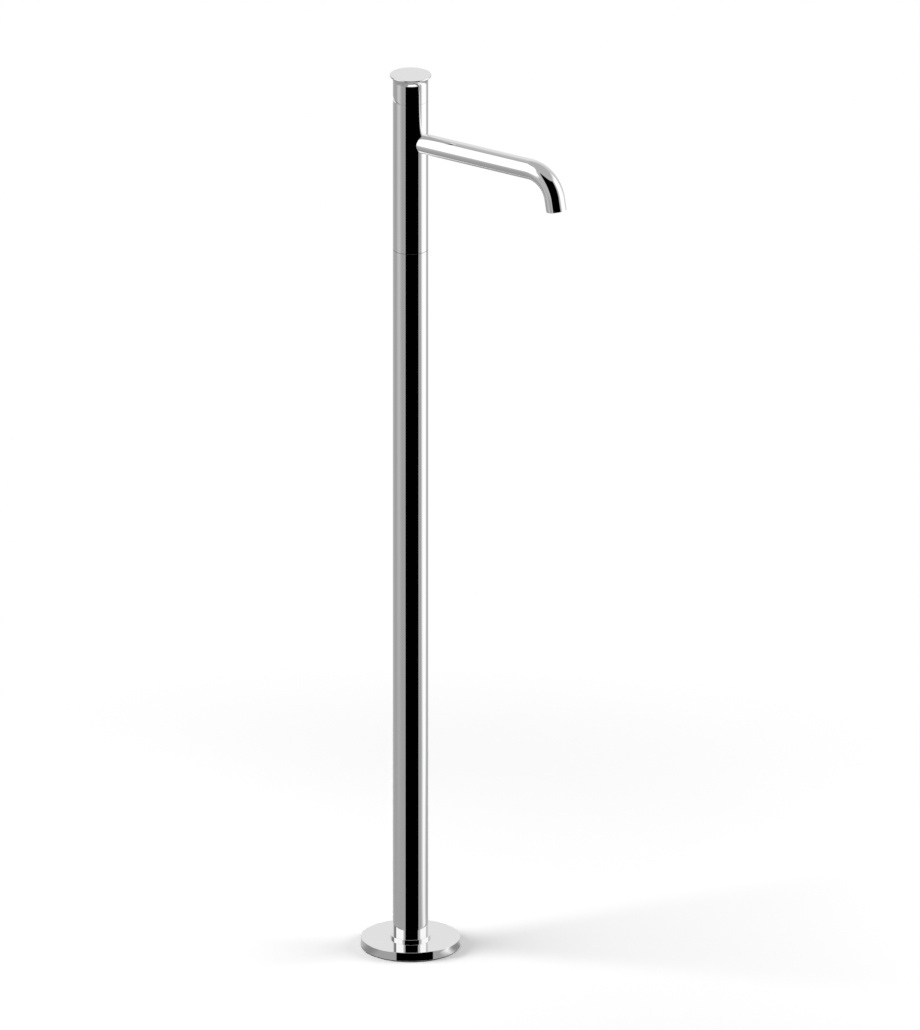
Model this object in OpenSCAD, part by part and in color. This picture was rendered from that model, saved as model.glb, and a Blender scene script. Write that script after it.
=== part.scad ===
// Floor-standing basin mixer. A slim column stands on a round floor flange and carries a
// mixer body with a turned-down spout. The top of the column is the handle: it turns for
// temperature and tips back, into the wedge cut at its rear, to let the water run.
// Millimetres and degrees, +Z up, spout along +X, origin on the floor under the column.

/* [Column] */
// Height from the floor to the top of the handle disc
total_h = 1100; // [1000:5:1200]
// Outer diameter of the column, the mixer body and the handle
col_d = 42; // [41:0.5:44]
// Wall of the column tube and of the body shell
tube_wall = 2; // [1.6:0.1:2.2]
// Height of the mixer body, from the seam to the joint under the handle
body_h = 188; // [170:1:220]
// Height of the hairline groove at the seam
seam_gap = 0.5; // [0.2:0.1:0.8]
// Length of the inner sleeve that joins the column tube and the body shell
sleeve_l = 60; // [40:2:80]
// Wall of the joint sleeve
sleeve_wall = 2.4; // [2.2:0.1:2.8]

/* [Floor flange] */
// Outer diameter of the flange cover
flange_d = 118; // [112:1:130]
// Height of the flange cover's top face above the floor
flange_h = 12; // [11.5:0.5:16]
// Thickness of the flange cover's top
flange_top = 2.3; // [2:0.1:2.6]
// Thickness of the flange cover's rim
flange_rim = 2.5; // [2:0.1:3]
// Diameter of the flat collar where the flange meets the column
collar_d = 48; // [46:0.5:50]
// Height of that collar above the flange cover's top face
collar_h = 3.2; // [2.5:0.1:4.5]
// Thickness of the rubber gasket on the floor
gasket_t = 1.5; // [1:0.1:2]
// How far the gasket's edge lies behind the flange's edge
gasket_inset = 1.2; // [0.6:0.1:2]
// Diameter of the opening in the gasket
gasket_bore_d = 60; // [56:1:64]

/* [Mounting plate] */
// Diameter of the steel plate under the flange cover
plate_d = 104; // [98:1:106]
// Thickness of the steel plate
plate_t = 8; // [7.6:0.1:8]
// Diameter of the recess that the column stands in
seat_d = 54; // [52:1:56]
// Depth of that recess
seat_depth = 4; // [3.5:0.1:4.4]
// Diameter of the circle of floor bolts
bolt_circle_d = 80; // [76:1:84]
// Number of floor bolts
bolt_count = 4; // [3:1:6]
// Diameter of the floor bolt holes
bolt_hole_d = 9; // [7:0.5:10]
// Diameter of the countersink for a bolt head
bolt_sink_d = 17; // [14:0.5:18]
// Depth of the countersink for a bolt head
bolt_sink_depth = 4; // [3:0.5:5]

/* [Water inlets] */
// Distance between the hot and the cold inlet
port_pitch = 19; // [18.4:0.2:19.6]
// Core diameter of the threaded inlets
port_d = 15; // [14:0.5:15.5]
// Depth of the threaded inlets
port_depth = 12; // [10:0.5:14]
// Height of the inlet block in the foot of the column
inlet_block_h = 32; // [30:1:40]
// Diameter of the non-return valves
check_d = 10.8; // [9:0.2:11]
// Length of the non-return valves
check_l = 6.5; // [5:0.5:7]
// Diameter of the strainers
strainer_d = 13; // [12:0.2:13.6]
// Thickness of the strainers
strainer_t = 0.9; // [0.6:0.1:1.2]
// Thread diameter of the screws that hold the column to the plate
foot_screw_d = 5; // [4:0.5:5]
// Length of those screws
foot_screw_l = 15; // [12:0.5:18]
// Place of those screws along the spout's direction
foot_screw_x = 14.2; // [14:0.1:14.6]
// Place of those screws across the spout's direction
foot_screw_y = 5.3; // [5.2:0.1:5.6]

/* [Hoses] */
// Outer diameter of the flexible hoses
hose_d = 9; // [8:0.2:9.6]
// Bore of the flexible hoses
hose_bore_d = 6.4; // [5.6:0.2:6.8]
// How far the hoses bow to the rear between their ends
hose_bow = 3; // [0:0.5:4]
// Distance between the hose sockets in the mixer body
socket_pitch = 17; // [16.4:0.2:17.6]
// Thread diameter of the hose ends
tail_d = 10; // [9:0.5:10]
// Thread length of the hose ends
tail_l = 8; // [6:0.5:9]
// Width across the flats of the hose ends' hexagon
tail_hex = 11; // [10.5:0.5:12]
// Height of that hexagon
tail_hex_l = 5; // [4:0.5:6]
// Bore of the hose ends
tail_bore_d = 4; // [3:0.5:4.5]
// Length of the crimped ferrules
ferrule_l = 16; // [12:1:20]
// Wall of the crimped ferrules
ferrule_wall = 1.1; // [0.8:0.1:1.3]
// Thickness of the washers under the hose ends
washer_t = 1.5; // [1:0.1:2]

/* [Spout] */
// Drop from the joint under the handle to the spout's centre line
spout_drop = 51.5; // [48:0.5:70]
// Outer diameter of the spout
spout_d = 24.5; // [23:0.5:25.5]
// Wall of the spout
spout_wall = 2; // [1.5:0.1:2.2]
// Distance from the column's centre line to the start of the bend
spout_run = 173.2; // [120:0.2:230]
// Radius of the bend at the spout's centre line
bend_r = 36; // [30:1:50]
// Angle that the spout turns down through
bend_angle = 80; // [60:1:90]
// Straight length after the bend
spout_tip_l = 15; // [15:0.5:30]
// Diameter of the water way in the mixer body
way_d = 8; // [6:0.5:8]
// Outer diameter of the nipple between the mixer body and the spout
nipple_d = 12; // [11.5:0.1:13]
// Length of the nipple inside the spout
nipple_out_l = 12; // [11:0.5:20]
// Length of the nipple inside the valve block
nipple_in_l = 7; // [6:0.5:8]
// Length of the bush inside the spout's root
bush_l = 10; // [9:0.5:15]

/* [Aerator] */
// How far the aerator lies behind the spout's end
aerator_recess = 1.2; // [0.5:0.1:2]
// Thread diameter of the aerator
aerator_d = 18.5; // [18:0.1:18.8]
// Length of the aerator body
aerator_l = 7; // [6:0.5:9]
// Wall of the aerator body
aerator_wall = 1.5; // [1.2:0.1:1.8]
// Thickness of the aerator's washer
aerator_seal_t = 1.5; // [1:0.1:2]
// Diameter of the holes in the aerator's screen
screen_hole_d = 1.9; // [1.4:0.1:2.1]
// Distance between the holes in the aerator's screen
screen_pitch = 2.8; // [2.6:0.1:3]

/* [Cartridge] */
// Diameter of the cartridge
cartridge_d = 25; // [24.6:0.2:26]
// Depth from the handle's pivot to the seat of the cartridge
chamber_depth = 25; // [24.6:0.1:25.4]
// Height of the cartridge's base
cart_base_h = 4; // [3.6:0.1:4.2]
// Thickness of the seals under the fixed disc
disc_seal_t = 1; // [0.8:0.1:1.2]
// Thickness of each ceramic disc
disc_t = 3; // [2.7:0.1:3.2]
// Diameter of the fixed ceramic disc
fixed_disc_d = 21.8; // [21:0.2:21.8]
// Diameter of the sliding ceramic disc
moving_disc_d = 14.8; // [14.4:0.1:14.8]
// Thickness of the disc carrier's plate
carrier_plate_t = 2; // [1.8:0.1:2.2]
// Height of the disc carrier's block
carrier_block_h = 3; // [2.8:0.1:3.2]
// Width of the disc carrier's block
carrier_w = 11.6; // [11:0.1:11.8]
// Diameter of the rotor's collar
rotor_d = 18; // [17.4:0.1:18.2]
// Height of the rotor's collar
rotor_h = 3.5; // [3.2:0.1:3.8]
// Diameter of the rotor's neck
neck_d = 15; // [14.6:0.1:15.4]
// Height of the rotor's neck above the pivot
neck_above = 5; // [4:0.5:5.5]
// Width of the square lever stem
stem_w = 6; // [5.6:0.1:6.2]
// Height of the lever stem above the pivot
stem_above = 26; // [25:0.5:27]
// Diameter of the ball on the lever stem
ball_d = 5; // [4.8:0.1:5.2]
// Diameter of the lever stem between ball and pivot
shank_d = 3.4; // [3:0.1:3.5]
// Diameter of the pivot pin
pin_d = 3; // [2.6:0.1:3.2]
// Length of the pivot pin
pin_l = 13; // [12:0.5:13.5]

/* [Handle] */
// Height of the handle, from its joint to the top of its disc
handle_h = 32; // [31:0.5:36]
// Diameter of the disc on top of the handle
disc_d = 49.6; // [48:0.2:56]
// Thickness of the disc's edge
disc_edge = 1.7; // [1.2:0.1:2]
// Height of the hollow flare under the disc
flare_h = 8.5; // [6:0.1:9]
// Angle of the wedge cut at the rear, under the handle
wedge_angle = 18; // [17.5:0.5:19]
// Wall between the handle's hollow and its outside
handle_wall = 2.8; // [2.6:0.1:3]
// Gap of the joint between handle and mixer body
joint_gap = 0.15; // [0.1:0.05:0.3]
// Thickness of the dome under the handle
dome_t = 1.2; // [1:0.1:1.3]
// Diameter of the opening in the dome
dome_open_d = 22; // [20:0.5:23]
// Diameter of the grub screw that holds the handle
grub_d = 4; // [3:0.5:4]
// Length of that grub screw
grub_l = 6; // [5:0.5:8]

/* [Hidden] */

$fn = 64;

// Fits: radial clearance of pieces pushed or screwed together, and of running pieces
fit = 0.05;
run = 0.05;
// Overshoot of a cut past the face that it opens
over = 1;

// Colours of the finishes
chrome = [0.80, 0.81, 0.83];
steel = [0.62, 0.63, 0.65];
brass = [0.78, 0.64, 0.36];
rubber = [0.10, 0.10, 0.11];
white_plastic = [0.93, 0.93, 0.91];
grey_plastic = [0.45, 0.47, 0.50];
ceramic = [0.96, 0.95, 0.92];

// Column
col_r = col_d / 2;
tube_in_r = col_r - tube_wall;
core_r = tube_in_r - fit;
joint_z = total_h - handle_h;
seam_z = joint_z - body_h;
shell_top_z = joint_z - joint_gap;

// Floor flange and mounting plate
plate_top_z = gasket_t + plate_t;
seat_z = plate_top_z - seat_depth;
ceiling_z = flange_h - flange_top;
collar_bore_r = col_r + fit;
collar_z = flange_h + collar_h;
hub_r = seat_d / 2 - 0.4;
hub_z = seat_z + 0.5;
flange_round = 0.5;
flange_ring_cord = 0.95;
flange_ring_z = hub_z + 2.4;
port_clear_r = port_d / 2 + 1.1;

// Inlet block
inlet_top_z = seat_z + inlet_block_h;
strainer_z = seat_z + port_depth;
check_z = strainer_z + strainer_t + 0.2;
inlet_socket_l = tail_l + 1;
inlet_way_d = 6;

// Hoses, from the inlet block's top to the valve block's foot
hose_low_z = inlet_top_z + washer_t + tail_hex_l;
hose_high_z = joint_z - spout_drop - spout_d / 2 - 12.25 - washer_t - tail_hex_l;
hose_rings = 32;
hose_sides = 8;

// Spout
spout_z = joint_z - spout_drop;
spout_r = spout_d / 2;
spout_bore_r = spout_r - spout_wall;
spout_socket_r = spout_r + fit;
socket_rim = 0.4;
spout_seat_x = sqrt(core_r * core_r - (spout_socket_r + socket_rim) * (spout_socket_r + socket_rim));
spout_root_x = spout_seat_x + 0.1;
bend_end_x = spout_run + bend_r * sin(bend_angle);
bend_end_z = spout_z - bend_r * (1 - cos(bend_angle));
tip_x = bend_end_x + spout_tip_l * cos(bend_angle);
tip_z = bend_end_z - spout_tip_l * sin(bend_angle);
tip_step = 0.05;
tip_lap = 1;
nipple_ring_cord = 0.65;

// Valve block
block_foot_z = spout_z - spout_r - 12.25;
block_top_z = joint_z - 2;
block_socket_l = tail_l + 3;
block_way_y = 7.6;
block_way_r = 2.2;
lock_d = 4;
lock_l = 7;
lock_x = spout_seat_x + lock_d / 2 + 0.3;

// Cartridge, from its seat upwards
chamber_r = cartridge_d / 2 + fit;
cart_r = cartridge_d / 2 - fit;
cart_z = joint_z - chamber_depth;
cart_base_z = cart_z + cart_base_h;
fixed_disc_z = cart_base_z + disc_seal_t;
moving_disc_z = fixed_disc_z + disc_t + 0.05;
carrier_z = moving_disc_z + disc_t;
carrier_block_z = carrier_z + carrier_plate_t;
carrier_top_z = carrier_block_z + carrier_block_h;
ball_z = carrier_block_z + 1;
rotor_z = carrier_top_z + 0.25;
rotor_top_z = rotor_z + rotor_h;
housing_bore_z = rotor_z + 0.3;
housing_ceiling_z = rotor_top_z + 0.2;
housing_top_z = housing_ceiling_z + 2;
nut_z = housing_top_z - 4;
cavity_r = fixed_disc_d / 2 + 0.1;
rotor_bore_r = rotor_d / 2 + run;
shoulder_r = rotor_bore_r + 2.45;
nut_bore_r = shoulder_r + 0.1;
nut_r = 15;
outlet_x = -1.8;
outlet_r = 2;
inlet_x = 2.75;
inlet_y = 4.76;
inlet_r = 1.5;
disc_cup_x = -1.6;
disc_cup_r = 4.4;
slot_l = 10.6;

// Handle and dome
handle_hollow_r = col_r - handle_wall;
dome_r = handle_hollow_r - 0.6;
dome_bore_r = dome_r - dome_t;
dome_foot_t = 1.55;
flare_z = total_h - disc_edge - flare_h;
flare_out = disc_d / 2 - col_r;
flare_r = (flare_out * flare_out + flare_h * flare_h) / (2 * flare_out);
grub_z = joint_z + handle_hollow_r + grub_d / 2 + 0.6;
plug_l = 2.5;

// A round bar along Z, from z0 to z1
module bar(r, z0, z1) {
    translate([0, 0, z0])
        cylinder(r = r, h = z1 - z0);
}

// A round pipe along Z, from z0 to z1
module pipe(r, bore, z0, z1) {
    difference() {
        bar(r, z0, z1);
        bar(bore, z0 - over, z1 + over);
    }
}

// A ring of round cord, lying flat at height z
module cord_ring(r, cord_r, z) {
    translate([0, 0, z])
        rotate_extrude()
            translate([r, 0])
                circle(r = cord_r);
}

// The groove that such a ring lies in, open to the outside
module ring_groove(r_bottom, r_open, width, z) {
    pipe(r_open, r_bottom, z - width / 2, z + width / 2);
}

// A hexagonal bar along Z, from z0 to z1, by its width across flats
module hex_bar(flats, z0, z1) {
    translate([0, 0, z0])
        cylinder(r = flats / 2 / cos(30), h = z1 - z0, $fn = 6);
}

// A headless screw along Z with a hexagonal socket in its upper end
module grub_screw(d, l) {
    difference() {
        bar(d / 2, 0, l);
        hex_bar(d / 2, l - d / 2, l + over);
    }
}

// One copy on the hot side, at -Y, and one on the cold side
module both_sides(offset) {
    for (side = [-1, 1])
        translate([0, side * offset, 0])
            children();
}

// Puts a piece that lies along Z onto the spout's centre line, pointing away from the column
module on_spout(x) {
    translate([x, 0, spout_z])
        rotate([0, 90, 0])
            children();
}

// Puts a piece onto the spout's last stretch: its Z = 0 lies at the spout's end, +Z points out
module at_tip() {
    translate([tip_x, 0, tip_z])
        rotate([0, 90 + bend_angle, 0])
            children();
}

// Four screws through the plate into the inlet block
module at_foot_screws() {
    for (sx = [-1, 1], sy = [-1, 1])
        translate([sx * foot_screw_x, sy * foot_screw_y, 0])
            children();
}

// The floor bolts' places
module at_floor_bolts() {
    for (i = [0 : bolt_count - 1])
        rotate([0, 0, 360 / bolt_count * (i + 0.5)])
            translate([bolt_circle_d / 2, 0, 0])
                children();
}

// Rubber gasket between the flange and the floor
module floor_gasket() {
    color(rubber)
        difference() {
            pipe(flange_d / 2 - gasket_inset, gasket_bore_d / 2, 0, gasket_t);
            at_floor_bolts()
                bar(bolt_hole_d / 2, -over, gasket_t + over);
        }
}

// Steel plate that is bolted to the floor
module mounting_plate() {
    sink_z = plate_top_z - bolt_sink_depth;
    color(steel)
        difference() {
            bar(plate_d / 2, gasket_t, plate_top_z);
            bar(seat_d / 2, seat_z, plate_top_z + over);
            both_sides(port_pitch / 2)
                bar(port_clear_r, gasket_t - over, seat_z + over);
            at_floor_bolts() {
                bar(bolt_hole_d / 2, gasket_t - over, plate_top_z + over);
                translate([0, 0, sink_z])
                    cylinder(r1 = bolt_hole_d / 2, r2 = bolt_sink_d / 2, h = bolt_sink_depth + 0.01);
            }
            at_foot_screws() {
                bar(foot_screw_d / 2 + 0.25, gasket_t - over, seat_z + over);
                translate([0, 0, gasket_t - 0.01])
                    cylinder(r1 = foot_screw_d, r2 = foot_screw_d / 2 + 0.25, h = foot_screw_d / 2);
            }
        }
}

// Chromed cover over the plate, with a low flat collar round the column
module flange_cover() {
    rim_r = flange_d / 2;
    color(chrome)
        difference() {
            union() {
                bar(rim_r, gasket_t, flange_h - flange_round);
                bar(rim_r - flange_round, gasket_t, flange_h);
                cord_ring(rim_r - flange_round, flange_round, flange_h - flange_round);
                bar(collar_d / 2, ceiling_z, collar_z);
            }
            difference() {
                bar(rim_r - flange_rim, gasket_t - over, ceiling_z);
                bar(hub_r, hub_z, ceiling_z + over);
            }
            bar(collar_bore_r, gasket_t - over, collar_z + over);
            bar(collar_bore_r + 2 * flange_ring_cord + fit, flange_ring_z - 1.1, flange_ring_z + 1.1);
        }
}

// Ring in the cover's bore that grips the column
module flange_oring() {
    color(rubber)
        cord_ring(collar_bore_r + flange_ring_cord, flange_ring_cord, flange_ring_z);
}

// Countersunk screws from below, through the plate into the inlet block
module foot_screws() {
    head_h = foot_screw_d / 2;
    head_z = gasket_t + 0.1;
    color(steel)
        at_foot_screws()
            difference() {
                union() {
                    translate([0, 0, head_z])
                        cylinder(r1 = foot_screw_d - 0.1, r2 = foot_screw_d / 2 - fit, h = head_h);
                    bar(foot_screw_d / 2 - fit, head_z + head_h, head_z + foot_screw_l);
                }
                hex_bar(foot_screw_d * 0.6, head_z - over, head_z + head_h);
            }
}

// Brass block in the foot of the column, with the two water inlets
module inlet_block() {
    color(brass)
        difference() {
            bar(core_r, seat_z, inlet_top_z);
            both_sides(port_pitch / 2) {
                bar(port_d / 2, seat_z - over, strainer_z);
                bar(strainer_d / 2 + fit, strainer_z - over, check_z);
                bar(check_d / 2 + fit, check_z - over, check_z + check_l);
                bar(inlet_way_d / 2, check_z, inlet_top_z);
                bar(tail_d / 2 + fit, inlet_top_z - inlet_socket_l, inlet_top_z + over);
            }
            at_foot_screws()
                bar(foot_screw_d / 2, seat_z - over, gasket_t + foot_screw_l + 1);
        }
}

// Perforated strainer discs behind the inlets
module inlet_strainers() {
    color(steel)
        both_sides(port_pitch / 2)
            difference() {
                bar(strainer_d / 2, strainer_z, strainer_z + strainer_t);
                for (ring = [0 : 1], i = [0 : 5 + 6 * ring])
                    rotate([0, 0, 360 / (6 + 6 * ring) * i])
                        translate([2 + 2 * ring, 0, 0])
                            bar(0.6, strainer_z - over, strainer_z + strainer_t + over);
            }
}

// Non-return valves behind the strainers
module check_valves() {
    color(white_plastic)
        both_sides(port_pitch / 2)
            difference() {
                bar(check_d / 2, check_z, check_z + check_l);
                bar(check_d / 2 - 1.4, check_z - over, check_z + 2);
                for (i = [0 : 2])
                    rotate([0, 0, 120 * i])
                        translate([check_d / 4, 0, 0])
                            bar(0.9, check_z, check_z + check_l + over);
            }
}

// Chromed tube from the floor to the seam
module column_tube() {
    color(chrome)
        pipe(col_r, tube_in_r, seat_z, seam_z - seam_gap / 2);
}

// The hoses' route: straight out of each end, with a slight bow to the rear between them
function ease(t) = (1 - cos(180 * t)) / 2;
function hose_point(t, side) = [
    -hose_bow * (1 - cos(360 * t)) / 2,
    side * (port_pitch + (socket_pitch - port_pitch) * ease(t)) / 2,
    hose_low_z + (hose_high_z - hose_low_z) * t
];
function hose_ring(p, r) = [
    for (k = [0 : hose_sides - 1])
        p + r * [cos(360 / hose_sides * k), sin(360 / hose_sides * k), 0]
];

// One hose: an outer and an inner skin of rings, closed by a flat ring at each end
module hose(side) {
    n = hose_sides;
    last = hose_rings - 1;
    inner = n * hose_rings;
    skin_r = hose_d / 2 / cos(180 / n) * 0.96;
    points = [
        for (r = [skin_r, hose_bore_d / 2], i = [0 : last])
            each hose_ring(hose_point(i / last, side), r)
    ];
    outside = [
        for (i = [0 : last - 1], k = [0 : n - 1])
            let (a = i * n + k, b = i * n + (k + 1) % n)
                each [[a, a + n, b], [b, a + n, b + n]]
    ];
    inside = [
        for (i = [0 : last - 1], k = [0 : n - 1])
            let (a = inner + i * n + k, b = inner + i * n + (k + 1) % n)
                each [[a, b, a + n], [b, b + n, a + n]]
    ];
    ends = [
        for (k = [0 : n - 1])
            let (a = k, b = (k + 1) % n, c = last * n + a, d = last * n + b)
                each [[a, b, inner + a], [b, inner + b, inner + a],
                    [c, inner + c, d], [d, inner + c, inner + d]]
    ];
    polyhedron(points = points, faces = concat(outside, inside, ends), convexity = 4);
}

// Hose from the hot inlet to the mixer body
module hot_hose() {
    color(grey_plastic)
        hose(-1);
}

// Hose from the cold inlet to the mixer body
module cold_hose() {
    color(grey_plastic)
        hose(1);
}

// Puts an end piece, whose Z = 0 is where its hose stops, onto the four hose ends
module at_hose_ends() {
    both_sides(port_pitch / 2)
        translate([0, 0, hose_low_z])
            mirror([0, 0, 1])
                children();
    both_sides(socket_pitch / 2)
        translate([0, 0, hose_high_z])
            children();
}

// Crimped ferrules round the hose ends
module hose_ferrules() {
    ferrule_bore = hose_d / 2 / cos(180 / hose_sides) + 0.02;
    color(steel)
        at_hose_ends()
            pipe(ferrule_bore + ferrule_wall, ferrule_bore, -ferrule_l, 0);
}

// Threaded ends of the hoses, each with a hexagon and a barb inside the hose
module hose_tails() {
    barb_r = hose_bore_d / 2 * cos(180 / hose_sides) - 0.05;
    color(brass)
        at_hose_ends()
            difference() {
                union() {
                    bar(barb_r, -ferrule_l * 0.8, 0);
                    hex_bar(tail_hex, 0, tail_hex_l);
                    bar(tail_d / 2, tail_hex_l, tail_hex_l + washer_t + tail_l);
                }
                bar(tail_bore_d / 2, -ferrule_l - over, tail_hex_l + washer_t + tail_l + over);
            }
}

// Flat washers under the hexagons
module hose_washers() {
    color(rubber)
        at_hose_ends()
            pipe(tail_hex / 2, tail_d / 2 + fit, tail_hex_l, tail_hex_l + washer_t);
}

// Sleeve inside the seam
module joint_sleeve() {
    color(brass)
        difference() {
            pipe(core_r, core_r - sleeve_wall, seam_z - sleeve_l / 2, seam_z + sleeve_l / 2);
            for (side = [-1, 1])
                ring_groove(core_r - 1.75, core_r + over, 2.2, seam_z + side * sleeve_l / 4);
        }
}

// Rings round the joint sleeve
module sleeve_orings() {
    color(rubber)
        for (side = [-1, 1])
            cord_ring(core_r - 0.85, 0.86, seam_z + side * sleeve_l / 4);
}

// Chromed tube from the seam to the joint under the handle
module body_shell() {
    color(chrome)
        difference() {
            pipe(col_r, tube_in_r, seam_z + seam_gap / 2, shell_top_z);
            on_spout(0)
                bar(spout_socket_r, 0, col_r + over);
        }
}

// Brass block inside the shell: water ways, seat of the cartridge and socket of the spout
module valve_block() {
    color(brass)
        difference() {
            bar(core_r, block_foot_z, block_top_z);
            bar(nut_r + fit, nut_z, block_top_z + over);
            bar(chamber_r, cart_z, nut_z + over);
            translate([outlet_x, 0, 0])
                bar(outlet_r, spout_z, cart_z + over);
            on_spout(outlet_x)
                bar(way_d / 2, -outlet_r - 1, core_r);
            on_spout(spout_seat_x)
                bar(nipple_d / 2, -nipple_in_l, over);
            on_spout(spout_seat_x)
                bar(spout_socket_r, 0, core_r);
            both_sides(block_way_y)
                bar(block_way_r, block_foot_z + over, cart_z + over);
            both_sides(socket_pitch / 2)
                bar(tail_d / 2 + fit, block_foot_z - over, block_foot_z + block_socket_l);
            translate([lock_x, 0, 0])
                bar(lock_d / 2 + fit, block_foot_z - over, spout_z);
        }
}

// The spout's outline as a bar of the radius r; its tip is a hair thinner and starts in the bend
module spout_bar(r) {
    translate([spout_run, 0, spout_z])
        rotate([0, -90, 0])
            cylinder(r = r, h = spout_run - spout_root_x);
    translate([spout_run, 0, spout_z - bend_r])
        rotate([90, 0, 0])
            rotate_extrude(angle = bend_angle, start = 90 - bend_angle)
                translate([bend_r, 0])
                    circle(r = r);
    at_tip()
        bar(r - tip_step, -spout_tip_l - tip_lap, 0);
}

// Chromed spout, bent down at its end
module spout_tube() {
    color(chrome)
        difference() {
            spout_bar(spout_r);
            spout_bar(spout_bore_r);
        }
}

// Bush brazed into the spout's root
module spout_bush() {
    color(brass)
        on_spout(spout_root_x)
            pipe(spout_bore_r - fit, nipple_d / 2 + fit, 0, bush_l);
}

// Nipple that carries the water from the valve block into the spout
module spout_nipple() {
    color(brass)
        on_spout(spout_seat_x)
            difference() {
                pipe(nipple_d / 2 - fit, way_d / 2, 0.1 - nipple_in_l, nipple_out_l);
                for (z = [3, 6.5])
                    ring_groove(nipple_d / 2 - 2 * nipple_ring_cord - 0.05, nipple_d / 2 + over, 1.5, z);
            }
}

// Rings between the nipple and the bush
module spout_orings() {
    color(rubber)
        on_spout(spout_seat_x)
            for (z = [3, 6.5])
                cord_ring(nipple_d / 2 - nipple_ring_cord, nipple_ring_cord, z);
}

// Grub screw from below that locks the spout in its socket
module spout_lock_screw() {
    top_z = spout_z - spout_r - 0.02;
    color(steel)
        translate([lock_x, 0, top_z])
            mirror([0, 0, 1])
                grub_screw(lock_d, lock_l);
}

// Threaded ring inside the spout's end, with the aerator's seat
module aerator_ring() {
    seat = -aerator_recess - aerator_l - aerator_seal_t;
    color(brass)
        at_tip()
            difference() {
                pipe(spout_bore_r - fit, aerator_d / 2 - 2, seat - 1.5, -aerator_recess);
                bar(aerator_d / 2 + fit, seat, over);
            }
}

// Washer on the aerator's seat
module aerator_seal() {
    color(rubber)
        at_tip()
            pipe(aerator_d / 2, aerator_d / 2 - 2, -aerator_recess - aerator_l - aerator_seal_t,
                -aerator_recess - aerator_l);
}

// Screwed body of the aerator
module aerator_body() {
    color(white_plastic)
        at_tip()
            difference() {
                bar(aerator_d / 2, -aerator_recess - aerator_l, -aerator_recess);
                bar(aerator_d / 2 - aerator_wall, -aerator_recess - aerator_l + 1.5, over);
                bar(aerator_d / 2 - aerator_wall - 1.2, -aerator_recess - aerator_l - over, 0);
            }
}

// Honeycomb of holes that straightens the jet
module aerator_screen() {
    screen_r = aerator_d / 2 - aerator_wall - fit;
    low = -aerator_recess - aerator_l + 1.5;
    color(white_plastic)
        at_tip()
            difference() {
                bar(screen_r, low, -aerator_recess - 0.6);
                for (i = [-2 : 2], j = [-2 : 2])
                    if (abs(i + j) <= 2)
                        translate([(i + j / 2) * screen_pitch, j * sin(60) * screen_pitch, 0])
                            bar(screen_hole_d / 2, low - over, over);
            }
}

// The three water ways at the discs, as bars or pipes
module at_disc_ports() {
    translate([outlet_x, 0, 0])
        children(0);
    both_sides(inlet_y)
        translate([inlet_x, 0, 0])
            children(1);
}

// The three water ways at the foot of the cartridge
module at_seat_ports() {
    translate([outlet_x, 0, 0])
        children();
    both_sides(block_way_y)
        children();
}

// Foot of the cartridge, with slanting ways to the discs
module cartridge_base() {
    lean_y = block_way_y - inlet_y;
    run_l = sqrt(inlet_x * inlet_x + lean_y * lean_y);
    way_l = sqrt(run_l * run_l + cart_base_h * cart_base_h);
    color(grey_plastic)
        difference() {
            bar(cart_r, cart_z, cart_base_z);
            translate([outlet_x, 0, 0])
                bar(outlet_r, cart_z - over, cart_base_z + over);
            for (side = [-1, 1])
                translate([0, side * block_way_y, cart_z])
                    rotate([0, 0, atan2(-side * lean_y, inlet_x)])
                        rotate([0, atan2(run_l, cart_base_h), 0])
                            translate([0, 0, -over])
                                cylinder(r = inlet_r, h = way_l + 2 * over);
            at_seat_ports()
                pipe(3.85, 2.1, cart_z - over, cart_z + 1.62);
        }
}

// Rings under the cartridge
module base_seals() {
    color(rubber)
        at_seat_ports()
            cord_ring(2.97, 0.8, cart_z + 0.8);
}

// Housing of the cartridge
module cartridge_housing() {
    color(white_plastic)
        difference() {
            union() {
                bar(cart_r, cart_base_z, nut_z);
                bar(shoulder_r, nut_z - over, housing_top_z);
            }
            bar(cavity_r, cart_base_z - over, housing_bore_z);
            bar(rotor_bore_r, housing_bore_z - over, housing_ceiling_z);
            bar(neck_d / 2 + run, housing_ceiling_z - over, housing_top_z + over);
        }
}

// Flat seals between the cartridge's foot and the fixed disc
module disc_seals() {
    color(rubber)
        at_disc_ports() {
            pipe(outlet_r + 1.2, outlet_r + 0.1, cart_base_z, fixed_disc_z);
            pipe(inlet_r + 1.1, inlet_r + 0.3, cart_base_z, fixed_disc_z);
        }
}

// Ceramic disc that stands still
module fixed_disc() {
    color(ceramic)
        difference() {
            bar(fixed_disc_d / 2, fixed_disc_z, fixed_disc_z + disc_t);
            at_disc_ports() {
                bar(outlet_r, fixed_disc_z - over, fixed_disc_z + disc_t + over);
                bar(inlet_r, fixed_disc_z - over, fixed_disc_z + disc_t + over);
            }
        }
}

// The two lugs by which the carrier moves the disc
module at_lugs() {
    for (side = [-1, 1])
        translate([5.2, side * 3.6, 0])
            children();
}

// Ceramic disc that slides and turns, with the mixing cup in its underside
module moving_disc() {
    color(ceramic)
        difference() {
            bar(moving_disc_d / 2, moving_disc_z, carrier_z);
            translate([disc_cup_x, 0, 0])
                bar(disc_cup_r, moving_disc_z - over, moving_disc_z + 1.6);
            at_lugs()
                bar(0.9, carrier_z - 1.1, carrier_z + over);
        }
}

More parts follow.
